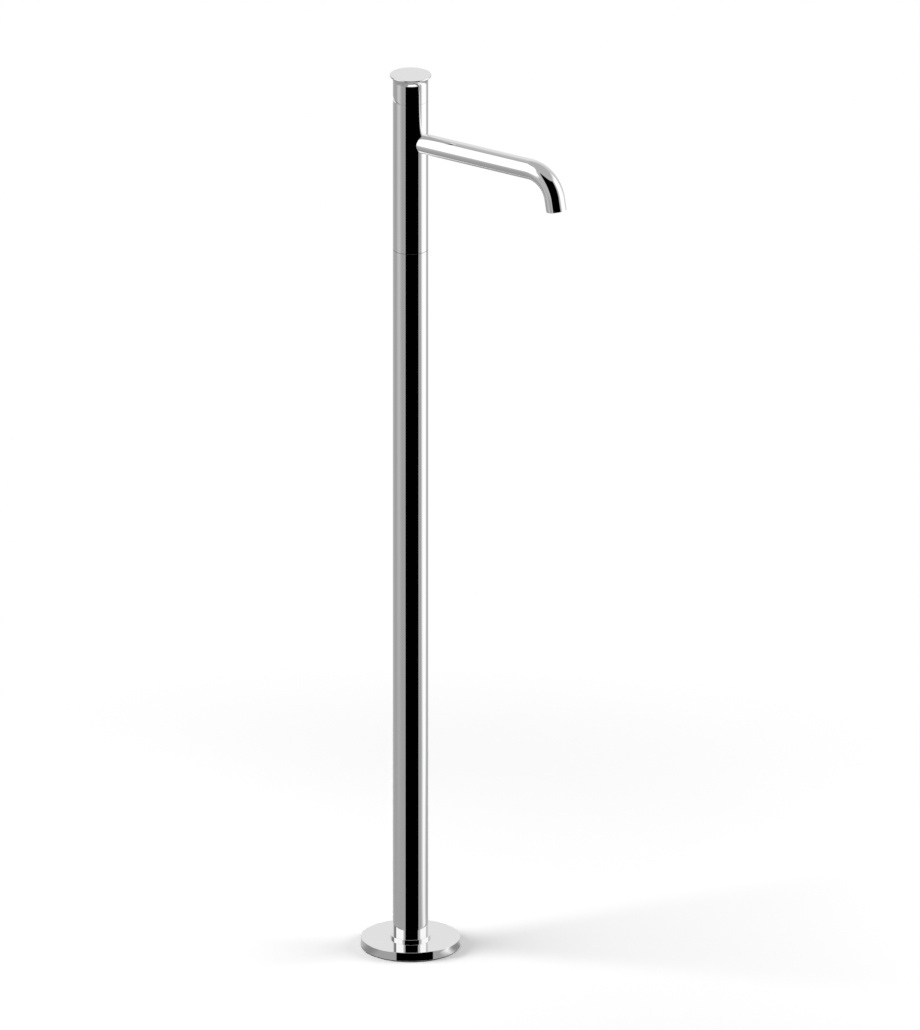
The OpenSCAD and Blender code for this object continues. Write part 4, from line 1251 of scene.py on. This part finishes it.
class MIXER_OT_stage(Operator):
    """Set up the camera, the pale floor, the lamps and the studio that the chrome mirrors"""

    bl_idname = "mixer.stage"
    bl_label = "Stage"

    def execute(self, context):
        studio = context.scene.mixer_studio
        self.camera(context, studio)
        self.floor()
        self.floor_light(studio)
        self.lamps(context, studio)
        self.world(context, studio)
        context.scene.view_settings.view_transform = "Standard"
        return {"FINISHED"}

    def camera(self, context, studio):
        """An orthographic camera, because the column's sides run parallel in the photograph."""
        side, lift, distance = studio.azimuth, studio.elevation, 4
        right = Vector((math.cos(side), math.sin(side), 0))
        back = AXIS_Z * math.sin(lift) + right.cross(AXIS_Z) * math.cos(lift)
        lens = bpy.data.cameras.new("camera")
        lens.type, lens.sensor_fit, lens.ortho_scale = "ORTHO", "VERTICAL", studio.view_height
        lens.clip_start, lens.clip_end = 0.1, 100
        camera = bpy.data.objects.new("camera", lens)
        aim = right * studio.aim_side + back.cross(right) * studio.aim_up
        camera.location = aim + back * distance
        camera.rotation_euler = (-back).to_track_quat("-Z", "Y").to_euler()
        context.scene.collection.objects.link(camera)
        context.scene.camera = camera

    def ground(self, name, material):
        """A wide plane on the floor, which the chrome or the camera sees."""
        size = 12
        points = [(x, y, 0) for x in (-size, size) for y in (-size, size)]
        plane = new_piece(name, points, [(0, 2, 3, 1)])
        plane.data.materials.append(material)
        plane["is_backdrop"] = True
        return plane

    def distance(self, tree):
        """The distance from the column's axis on the floor, and the place there."""
        spot = add(tree, "ShaderNodeTexCoord", output="Object")
        return add(tree, "ShaderNodeVectorMath", {0: spot}, output="Value", operation="LENGTH"), spot

    def mixed(self, tree, factor, first, second):
        """Two shaders mixed by a factor."""
        return add(tree, "ShaderNodeMixShader", {0: factor, 1: first, 2: second})

    def glow(self, tree, light):
        """A shader that gives light; its brightness is a number or a Value."""
        light = light if isinstance(light, Value) else (light, light, light, 1)
        return add(tree, "ShaderNodeEmission", {"Color": light})

    def floor(self):
        """A pale floor that fades into the white background, and that the chrome doesn't mirror."""
        pale = Finish("pale floor", Roughness=0.9, Specular_IOR_Level=0.0)
        pale.tint((0.97, 0.97, 0.97), pale.noise(scale=900.0, detail=2.0), darker=0.995, lighter=1.005)
        tree = pale.tree
        away, _ = self.distance(tree)
        seen = add(tree, "ShaderNodeLightPath", output="Is Camera Ray")
        fade = away.between(0.55, 1.0, smooth=True) * seen
        mix = self.mixed(tree, fade, Value(pale.shader), self.glow(tree, 1.0))
        mix.feed(tree.nodes["Material Output"].inputs["Surface"])
        self.ground("floor", pale.material).visible_glossy = False

    def floor_light(self, studio):
        """Light that lies on the floor at either side, seen only in the chrome.

        It is brightest far away, and the pool on the right starts as a small one at the flange,
        which itself shades the floor a little at both sides. Distances are metres from the
        column's axis; middles, widths and a patch's limits are degrees of azimuth.
        """
        material = bpy.data.materials.new("light on the floor")
        material.use_nodes = True
        tree = material.node_tree
        tree.nodes.clear()
        away, spot = self.distance(tree)
        side = self.side_angle(tree, spot, studio)

        def patch(middle, gone, full, strength=1.0):
            return abs(side - middle).between(gone, full, 0.0, strength)

        near, open_floor = 0.078, 0.1
        middle = away.between(near, open_floor, 60.0, 93.0) + away.between(open_floor, 0.7, 0.0, 7.5)
        width = away.between(near, open_floor, 16.0, 26.0) + away.between(open_floor, 3.0, 0.0, 7.0)
        right = (1.0 - abs(side - middle) / width) * away.between(0.15, 1.2, 1.0, 1.9)
        right_light = away.between(0.06, 0.08, 0.64, 1.1) + away.between(open_floor, 3.0, 0.0, 0.05)
        left_light = away.between(0.0, 4.0, 0.387, 1.635)
        light = blend(tree, side.maths("GREATER_THAN", 0.0), left_light, right_light)
        left = patch(middle=-82.0, gone=24.0, full=5.0, strength=0.25)
        shown = left.maths("MAXIMUM", right.between(0.0, 1.0))
        clear = add(tree, "ShaderNodeBsdfTransparent")
        mix = self.mixed(tree, shown, clear, self.glow(tree, light))
        shade = patch(middle=82.0, gone=19.0, full=5.0)
        shade = shade.maths("MAXIMUM", patch(middle=-68.0, gone=19.0, full=5.0))
        shade = shade * away.between(open_floor, 0.086)
        mix = self.mixed(tree, shade, mix, self.glow(tree, 0.27))
        add(tree, "ShaderNodeOutputMaterial", {"Surface": mix})
        plane = self.ground("floor_light", material)
        for seen_by in ("camera", "diffuse", "transmission", "volume_scatter", "shadow"):
            setattr(plane, f"visible_{seen_by}", False)

    def side_angle(self, tree, spot, studio):
        """The azimuth of a direction in degrees, from the camera towards the right."""
        inputs = {"Vector": spot, "Angle": math.pi / 2 - studio.azimuth}
        spun = add(tree, "ShaderNodeVectorRotate", inputs, rotation_type="Z_AXIS")
        x = add(tree, "ShaderNodeSeparateXYZ", {0: spun})
        return x.also(1).maths("ARCTAN2", x) * (180 / math.pi)

    def lamps(self, context, studio):
        """Two softboxes that light matt surfaces and cast the floor's soft shadows."""
        distance, height, lean = 2.2, 1.05, 0.12
        places = (("left lamp", -84, studio.lamp_left), ("right lamp", 98, studio.lamp_right))
        for name, side, power in places:
            angle = math.radians(side) + studio.azimuth - math.pi / 2
            light = bpy.data.lights.new(name, "AREA")
            light.shape, light.energy = "RECTANGLE", power
            light.size, light.size_y = 1.7, 1.9
            lamp = bpy.data.objects.new(name, light)
            out = Vector((math.cos(angle), math.sin(angle), 0))
            lamp.location = out * distance + AXIS_Z * height
            lamp.rotation_euler = (out + AXIS_Z * lean).to_track_quat("Z", "Y").to_euler()
            lamp.visible_glossy = False
            lamp.visible_camera = False
            context.scene.collection.objects.link(lamp)

    def world(self, context, studio):
        """White for the camera, plain light for matt surfaces, and a studio for the chrome.

        The studio is a wall that is brightest behind the mixer, a grey ceiling, and the cards,
        of which the left softbox ends in two slanting edges. Its angles are degrees: the azimuth
        from the camera towards the right, and the height above the horizon.
        """
        world = bpy.data.worlds.new("studio")
        context.scene.world = world
        world.use_nodes = True
        tree = world.node_tree
        spot = add(tree, "ShaderNodeTexCoord", output="Generated")
        side = self.side_angle(tree, spot, studio)
        rise = add(tree, "ShaderNodeSeparateXYZ", {0: spot}, output=2)
        high = rise.maths("ARCSINE") * (180 / math.pi)
        wall_turn, low_wall_turn = (110.0, 175.0), (125.0, 165.0)
        ceiling_rise, floor_line, deep_line = (34.0, 64.0), (-18.0, -15.0), (-32.0, -27.0)
        wall = abs(side).between(*wall_turn, studio.wall_side, studio.wall_back)
        light = blend(tree, high.between(*ceiling_rise, smooth=True), wall, studio.ceiling)
        lower = abs(side).between(*low_wall_turn, studio.low_side, studio.low_back)
        lower = blend(tree, high.between(*deep_line), studio.low_deep, lower)
        light = blend(tree, high.between(*floor_line), lower, light)
        low_slant, top_slant = high - side * 1.3 - 71.8, high + side * 1.2 + 10.0
        slanted = low_slant.between(-3.0, 3.0) * top_slant.between(5.0, -5.0)
        for name, card in CARDS.items():
            shown = slanted if name == "left softbox" else 1.0
            edges = ((side, card.start, card.end, card.soft), (high, card.low, card.top, card.soft_up))
            for line, first, last, soft in edges:
                half = (last - first) / 2
                away = abs(line - (first + last) / 2)
                shown = away.between(half + soft, half - soft) * shown
            value = studio.softbox if card.light is None else card.light
            light = blend(tree, shown, light, value)
        paths = add(tree, "ShaderNodeLightPath", output="Is Glossy Ray")
        lit = blend(tree, paths, studio.ambient, light)
        lit = blend(tree, paths.also("Is Transmission Ray"), lit, light)
        shown = blend(tree, paths.also("Is Camera Ray"), lit, 1.0)
        shade = add(tree, "ShaderNodeBackground", {"Color": shown})
        shade.feed(tree.nodes["World Output"].inputs["Surface"])


STEPS = (
    MIXER_OT_finishes,
    MIXER_OT_column,
    MIXER_OT_flange,
    MIXER_OT_spout,
    MIXER_OT_handle,
    MIXER_OT_hoses,
    MIXER_OT_aerator,
    MIXER_OT_inside,
    MIXER_OT_stage,
)


class MIXER_PT_panel(Panel):
    """Steps and sizes of the basin mixer."""

    bl_label = "Basin mixer"
    bl_space_type = "VIEW_3D"
    bl_region_type = "UI"
    bl_category = "Basin mixer"

    def draw(self, context):
        for step in STEPS:
            self.layout.operator(step.bl_idname)
        for group, kind in GROUPS.items():
            box = self.layout.box()
            box.label(text=kind.__doc__)
            for size in kind.__annotations__:
                box.prop(getattr(context.scene, group), size)


def register():
    """Registers the sizes, the steps and the panel."""
    for group, kind in GROUPS.items():
        bpy.utils.register_class(kind)
        setattr(bpy.types.Scene, group, PointerProperty(type=kind))
    for step in (*STEPS, MIXER_PT_panel):
        bpy.utils.register_class(step)


def unregister():
    """Takes them away again."""
    for step in (MIXER_PT_panel, *reversed(STEPS)):
        bpy.utils.unregister_class(step)
    for group, kind in reversed(GROUPS.items()):
        delattr(bpy.types.Scene, group)
        bpy.utils.unregister_class(kind)


def main():
    """Builds everything and works out the two boxes."""
    register()
    for step in STEPS:
        area, name = step.bl_idname.split(".")
        getattr(getattr(bpy.ops, area), name)()
    boxes = {"cad": CAD_BOX, "visual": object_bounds()}
    {key: [list(c) for c in box] for key, box in boxes.items()}


if __name__ == "__main__":
    main()
